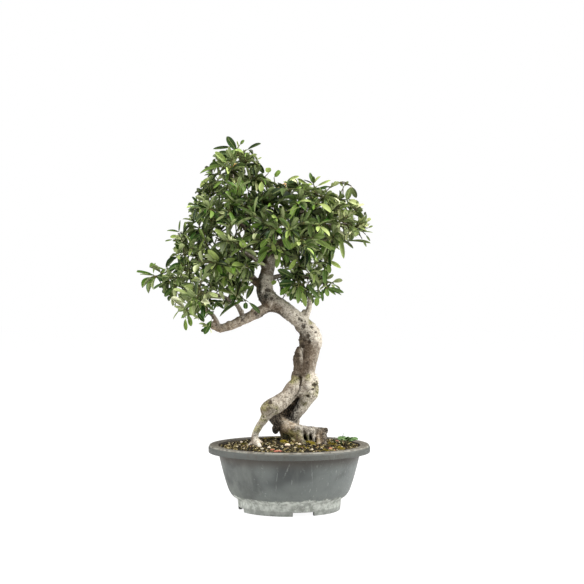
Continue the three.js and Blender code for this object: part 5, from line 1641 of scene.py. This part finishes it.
# %% [markdown]
# ## One leaf
#
# A firethorn leaf is narrow at its foot, widest past the middle and round at the tip, folded a
# little along its midrib, with a short stalk. A blade with a few dozen faces is enough, because
# it is repeated about three thousand times. Its points remember how far along and across they
# are, for the veins, and its faces whether they are on the underside.
#
# %% Shapes of the leaf
BLADE = [(0.0, 0.06), (0.1, 0.08), (0.18, 0.34), (0.31, 0.7), (0.46, 0.93), (0.61, 1.0),
         (0.76, 0.92), (0.88, 0.68), (0.96, 0.36)]
HALF_THICKNESS = 0.011


def leaf_shape(name, fold, arch, twist, round_tip=0.0):
    """A closed blade of length one along +Y and half width a half, facing +Z."""
    vertices, along, across = [], [], []
    rows = [(share, half + round_tip * (share > 0.3) * (1 - half) * 0.6) for share, half in BLADE]
    sides = ((-1, 0), (0, HALF_THICKNESS), (1, 0), (0, -HALF_THICKNESS))
    corners = [(share, half, *side) for share, half in rows for side in sides]
    for share, half, out, thick in [*corners, (1.0, 0, 0, 0)]:
        height = fold * half * 0.5 * abs(out) - arch * share**2 + twist * out * half * (share - 0.4)
        vertices.append(Vector((out * half * 0.5, share, height + thick)))
        along.append(share)
        across.append(out)
    tip, upper, lower = len(vertices) - 1, [], []
    for row in range(len(BLADE) - 1):
        a, b = 4 * row, 4 * (row + 1)
        upper += [(a, a + 1, b + 1, b), (a + 1, a + 2, b + 2, b + 1)]
        lower += [(a + 2, a + 3, b + 3, b + 2), (a + 3, a, b, b + 3)]
    last = 4 * (len(BLADE) - 1)
    upper += [(last, last + 1, tip), (last + 1, last + 2, tip)]
    lower += [(last + 2, last + 3, tip), (last + 3, last, tip)]
    faces = upper + lower + [(3, 2, 1, 0)]
    piece = new_piece(name, vertices, faces)
    point_attribute(piece.data, "along", along)
    point_attribute(piece.data, "across", across)
    made = piece.data.attributes.new("under", "FLOAT", "FACE")
    made.data.foreach_set("value", [0.0] * len(upper) + [1.0] * (len(lower) + 1))
    piece.data.set_sharp_from_angle(angle=math.radians(75))
    return piece


LEAF_KINDS = [leaf_shape("leaf_flat", 0.2, 0.05, 0.1), leaf_shape("leaf_arched", 0.25, 0.24, -0.12),
              leaf_shape("leaf_folded", 0.55, 0.1, 0.25), leaf_shape("leaf_round", 0.2, 0.1, 0.1, 0.8)]
print("faces of one leaf:", len(LEAF_KINDS[0].data.polygons))

# %% A tree that sets a leaf on every point


def leaf_tree():
    """Points carry their leaf's kind, turn, size and tone; each gets the leaf of its kind."""
    tree, given = start_tree("set_leaves", {shape.name: "Object" for shape in LEAF_KINDS})
    new, link = tree.nodes.new, tree.links.new

    def named(name, kind):
        node = new("GeometryNodeInputNamedAttribute")
        node.data_type = kind
        node.inputs["Name"].default_value = name
        return next(s for s in node.outputs if s.name == "Attribute" and s.enabled)

    points = new("GeometryNodeMeshToPoints")
    link(given["Geometry"], points.inputs["Mesh"])
    gather = new("GeometryNodeJoinGeometry")
    for number, shape in enumerate(LEAF_KINDS):
        chosen = new("FunctionNodeCompare")
        chosen.data_type, chosen.operation = "FLOAT", "EQUAL"
        chosen.inputs["B"].default_value = float(number)
        chosen.inputs["Epsilon"].default_value = 0.25
        link(named("kind", "FLOAT"), chosen.inputs["A"])
        info = new("GeometryNodeObjectInfo")
        link(given[shape.name], info.inputs["Object"])
        place = new("GeometryNodeInstanceOnPoints")
        link(points.outputs[0], place.inputs["Points"])
        link(chosen.outputs[0], place.inputs["Selection"])
        link(info.outputs["Geometry"], place.inputs["Instance"])
        link(named("turn", "FLOAT_VECTOR"), place.inputs["Rotation"])
        link(named("size", "FLOAT_VECTOR"), place.inputs["Scale"])
        link(place.outputs["Instances"], gather.inputs["Geometry"])
    return end_tree(tree, given, gather.outputs["Geometry"])


def set_leaves(name, leaves, material):
    """A piece with a real leaf for each entry."""
    rotations = []
    for leaf in leaves:
        across = leaf.towards.cross(leaf.facing).normalized()
        axes = Matrix((across, leaf.towards, across.cross(leaf.towards))).transposed()
        rotations.append(axes.to_euler())
    sizes = [(leaf.width * MM, leaf.length * MM, leaf.length * MM) for leaf in leaves]
    feet = new_piece(name + "_feet", [leaf.root * MM for leaf in leaves], [], smooth=False)
    for key, values in (("turn", rotations), ("size", sizes)):
        made = feet.data.attributes.new(key, "FLOAT_VECTOR", "POINT")
        made.data.foreach_set("vector", np.array(values, dtype=np.float32).ravel())
    for key in ("dry", "kind", "tone"):
        point_attribute(feet.data, key, [getattr(leaf, key) for leaf in leaves])
    return grown(feet, LEAF_TREE, name, {**{shape.name: shape for shape in LEAF_KINDS}, "Finish": material})


LEAF_TREE = leaf_tree()

# %% [markdown]
# ## The leaf's finish
#
# The upper side is a dark, waxy green with a pale midrib and a faint grid of side veins, and it
# reflects the sky. The underside is pale and dull. Young leaves are yellower. A clear coat gives
# the gloss, and each leaf's own random tone keeps two neighbours from being the same green.
#
# %% Material of the leaves
leaf_green = Finish("firethorn_leaf", Specular_IOR_Level=0.2, Coat_Weight=0.07, Coat_Roughness=0.25)
tone, along, under = (leaf_green.attribute(name) for name in ("tone", "along", "under"))
across = leaf_green.attribute("across").abs()
patch = leaf_green.noise(140, 3)
greens = leaf_green.ramp(
    tone, (0.0, (3, 17, 0)), (0.22, (13, 40, 1)), (0.42, (42, 80, 10)), (0.6, (92, 126, 38)),
    (0.75, (150, 171, 86)), (0.9, (190, 200, 142)), (1.0, (208, 212, 176)))
dry_tone = leaf_green.mix(tone, (58, 60, 36), (196, 190, 138))
greens = leaf_green.mix(leaf_green.attribute("dry") * 0.75, greens, dry_tone)
veins = (along * 62 + across * -9).maths("SINE").step(0.86, 1.0) * across.step(0.95, 0.4)
midrib = across.step(0.17, 0.03)
back_tone = leaf_green.layers(leaf_green.mix(tone, (72, 94, 38), (174, 184, 128)),
                              (midrib * 0.4 + veins * 0.2, (190, 196, 150)))
blade_tone = leaf_green.layers(
    leaf_green.shade(greens, 0.8 + patch * 0.4), (veins * 0.18, (150, 164, 96)),
    (midrib * 0.5, (166, 176, 110)), (under, back_tone), (along.step(0.17, 0.1), (132, 118, 70)))
leaf_green.set(Base_Color=blade_tone, Roughness=0.42 + under * 0.3 + patch * 0.14)
leaf_green.bump(veins * -0.5 - midrib * 0.8 + patch * 0.4, 0.3, 0.6)

# %% Material of the twigs
twig_bark = Finish("twig_bark", Roughness=0.7, Specular_IOR_Level=0.3)
ringed = twig_bark.noise(300, 4, 0.6)
old_share = twig_bark.noise(60).step(0.42, 0.6) * 0.7
twig_bark.set(Base_Color=twig_bark.layers(
    twig_bark.mix(ringed.step(0.35, 0.65), (36, 34, 12), (92, 88, 48)), (old_share, (66, 80, 26))))
twig_bark.bump(ringed, 0.3)

# %% Leaves and twigs, group by group
GROUPS = ["apex", "upper_left", "left", "front", "right", "back", "low_right"]


def give_tone(leaf):
    """0 is the darkest old leaf, 1 a yellow young one; leaves deep inside the crown are painted darker as
    painted shade, and a round patch in its middle is darker.
    """
    x, z = seen(leaf.root)
    edge = from_edge(x, z)
    # Painted shade: leaves far from the crown's outline and near its middle plane are made darker
    painted_inner_shade = min(edge / 40, 1) * (1 - min(abs(leaf.root.y) / 60, 1))
    tone = random.betavariate(1.1, 1.5) * 0.96
    tone += 0.14 * (x < -60 and z < 370) + 0.08 * (x > 40 and z > 375) + 0.08 * (edge < 14) - 0.22 * painted_inner_shade
    tone -= 0.14 * (math.hypot(x + 8, z - 405) < 38)
    leaf.tone = min(max(tone, 0.0), 1.0)
    dry = 0.5 * (x > 52 and z > 370) + 0.25 * (z > 440) + random.uniform(-0.2, 0.4)
    leaf.dry = min(max(dry, 0), 1)


def from_solids(places, radii):
    """Stations for a tube, from places in the solids' millimetres and a radius for each."""
    return [(p.x - AXIS_MM, p.y, p.z, radius) for p, radius in zip(places, radii)]


TWIG_FOOT_MM, TWIG_TIP_MM = 1.2, 0.55
for group in GROUPS:
    names = [n for n in sprays if n[len("spray_"):].rsplit("_", 1)[0] == group]
    leaves = [leaf for name in names for leaf in sprays[name].leaves + sprays[name].tuft]
    for leaf in leaves:
        if not hasattr(leaf, "tone"):
            leaf.kind = random.choices((0, 1, 2, 3), (3, 3, 1.5, 1))[0]
            give_tone(leaf)
    piece = set_leaves("leaves_" + group, leaves, leaf_green.material)
    finished(piece, "leaves", *names)
    twig_skin = [], []
    for run in (run for name in names for run in twig_runs[name]):
        stations = from_solids(run, np.linspace(TWIG_FOOT_MM, TWIG_TIP_MM, len(run)))
        tube(through(stations, 3), 6, twig_skin)
    finished(new_piece("twigs_" + group, *twig_skin, twig_bark.material), "wood")

# %% [markdown]
# ## Flower heads, weed and grass
#
# Firethorn flowers in flat heads of many small buds on fine stalks, here faded to tan and orange.
# A round-leaved weed and a few blades of grass grow by the right rim. Buds repeat, so a tree sets
# one on the tip of every stalk; the weed uses the round leaf of the tree that sets leaves.
#
# %% Flower heads
SMALLEST_BUD_MM, LARGEST_BUD_MM = 0.75, 1.35
BUDS_PER_HEAD = 30
# Middle and radius of each head, where the solids have theirs
heads = []
for name in ("flower_head_1", "flower_head_2"):
    low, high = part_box(name)
    heads.append(((low + high) / 2 / MM, (high.x - low.x) / 2 / MM))
random.seed(31)
bud_places, stalk_skin = [], ([], [])
for middle, radius in heads:
    fork = middle + Vector((0, 0, -1.1 * radius))
    foot = own_places[twig_tree.find(fork)[1]][0]
    bend = (foot + fork) / 2 + Vector((0, -1, 0))
    tube(from_solids((foot, bend, fork), (0.8, 0.7, 0.6)), 6, stalk_skin)
    for k in range(BUDS_PER_HEAD):
        angle, share = SPIRAL_TURN * k, math.sqrt((k + 0.5) / BUDS_PER_HEAD)
        tip = middle + Vector((radius * share * math.cos(angle), radius * share * math.sin(angle),
                               radius * 0.7 * (1 - share**2) + random.uniform(-0.8, 0.8)))
        bud_places.append(tip * MM)
        tube(from_solids((fork, tip), (0.25, 0.25)), 4, stalk_skin)
bud_finish = Finish("faded_buds", Roughness=0.7, Specular_IOR_Level=0.3)
bud_ramp = bud_finish.ramp(bud_finish.attribute("tone"), (0.0, (160, 92, 46)), (0.35, (196, 140, 78)),
                           (0.7, (212, 190, 130)), (1.0, (150, 142, 80)))
bud_noise = bud_finish.noise(900, 3)
bud_finish.set(Base_Color=bud_finish.mix(bud_noise.step(0.5, 0.7) * 0.4, bud_ramp, (120, 80, 44)))
bud_finish.bump(bud_noise, 0.2)
bud = stone_shape("bud", 5.0, 1.15, 2)
buds = grown(new_piece("bud_tips", bud_places, []), scatter_tree("set_buds", False, 0), "flower_buds", {
    "Shape": bud, "Smallest": SMALLEST_BUD_MM * MM, "Largest": LARGEST_BUD_MM * MM, "Seed": 12,
    "Finish": bud_finish.material})
finished(buds, "flower_heads", "flower_head_1", "flower_head_2")
bpy.data.objects.remove(bud)


def stem_finish(name, roughness, per_metre, first, second, bumps_per_metre):
    """A plain finish for a thin stem: two tones in soft patches, and a little relief."""
    made = Finish(name, Roughness=roughness)
    made.set(Base_Color=made.mix(made.noise(per_metre).step(0.4, 0.6), first, second))
    return made.bump(made.noise(bumps_per_metre), 0.1)


stalk_green = stem_finish("flower_stalk", 0.7, 200, (150, 138, 84), (176, 160, 112), 600)
finished(new_piece("flower_stalks", *stalk_skin, stalk_green), "flower_heads")

# %% Weed and grass
WEED_FOOT, WEED_TOP = Vector((77, -19, 80)), Vector((80.5, -21, 99))
random.seed(9)
weed_leaves, weed_skin = [], ([], [])
for k in range(14):
    roll, lean = SPIRAL_TURN * k, 0.35 + 0.09 * k
    aside_x, aside_y = math.sin(lean) * math.cos(roll), math.sin(lean) * math.sin(roll)
    towards = Vector((aside_x, aside_y, math.cos(lean) + 0.15))
    foot = WEED_FOOT.lerp(WEED_TOP, 0.45 + 0.04 * k)
    elbow = foot + towards * random.uniform(2, 6.5)
    tube([(*foot, 0.4), (*elbow, 0.3)], 5, weed_skin)
    flat = (towards + Vector((towards.x, towards.y, -0.4))).normalized()
    size = random.uniform(9, 12.5)
    root = Vector((elbow.x + AXIS_MM, elbow.y, elbow.z))
    leaf = make_leaf(root, flat, Vector((0, -0.35, 1)), size, size * 0.95)
    leaf.kind, leaf.tone, leaf.dry = 3, random.uniform(0.2, 0.9), 0
    weed_leaves.append(leaf)
half_way = WEED_FOOT.lerp(WEED_TOP, 0.5)
tube([(*WEED_FOOT, 0.9), (*half_way, 0.8), (*WEED_TOP, 0.5)], 8, weed_skin)
weed_green = Finish("weed_green", Roughness=0.5)
weed_vein = weed_green.attribute("across").abs().step(0.2, 0.05)
weed_tone = weed_green.mix(weed_green.attribute("tone"), (42, 72, 28), (96, 122, 66))
weed_green.set(Base_Color=weed_green.mix(weed_vein * 0.4, weed_tone, (160, 182, 130)))
weed_green.bump(weed_green.noise(500), 0.2)
weed = set_leaves("weed_leaves", weed_leaves, weed_green.material)
finished(weed, "weed", "weed")
stem_green = stem_finish("weed_stem", 0.6, 300, (96, 110, 60), (120, 104, 66), 800)
finished(new_piece("weed_stems", *weed_skin, stem_green), "weed")
# Blades of grass: foot x, y, tip x, y, z, and width
BLADES = [(70.5, -20, 74, -22, 107.5, 1.1), (71, -20, 68, -26, 101, 0.8), (60, -24, 61.5, -26, 103, 0.7),
          (69, -19, 73, -14, 98, 0.8), (59, -23, 56, -20, 97, 0.6), (82, -30, 85, -33, 96, 0.6)]
# How far towards its tip a blade is bent aside and risen at each of its stations, and its half width
BEND_STEPS = [(0, 0, 0.5), (0.3, 0.45, 0.5), (0.7, 0.8, 0.36)]
grass_skin = [], []
for x, y, tip_x, tip_y, tip_z, width in BLADES:
    foot_z = soil_height(x, y) - 3
    row = [(x * (1 - bent) + tip_x * bent, y * (1 - bent) + tip_y * bent,
            foot_z * (1 - risen) + tip_z * risen, width * half) for bent, risen, half in BEND_STEPS]
    tube(through([*row, (tip_x, tip_y, tip_z, 0.08)], 2), 5, grass_skin)
grass = new_piece("grass_blades", *grass_skin, weed_green.material)
for key, value in (("tone", 0.6), ("across", 0.6)):
    point_attribute(grass.data, key, [value] * len(grass.data.vertices))
finished(grass, "weed", "grass")
for shape in LEAF_KINDS:
    bpy.data.objects.remove(shape)
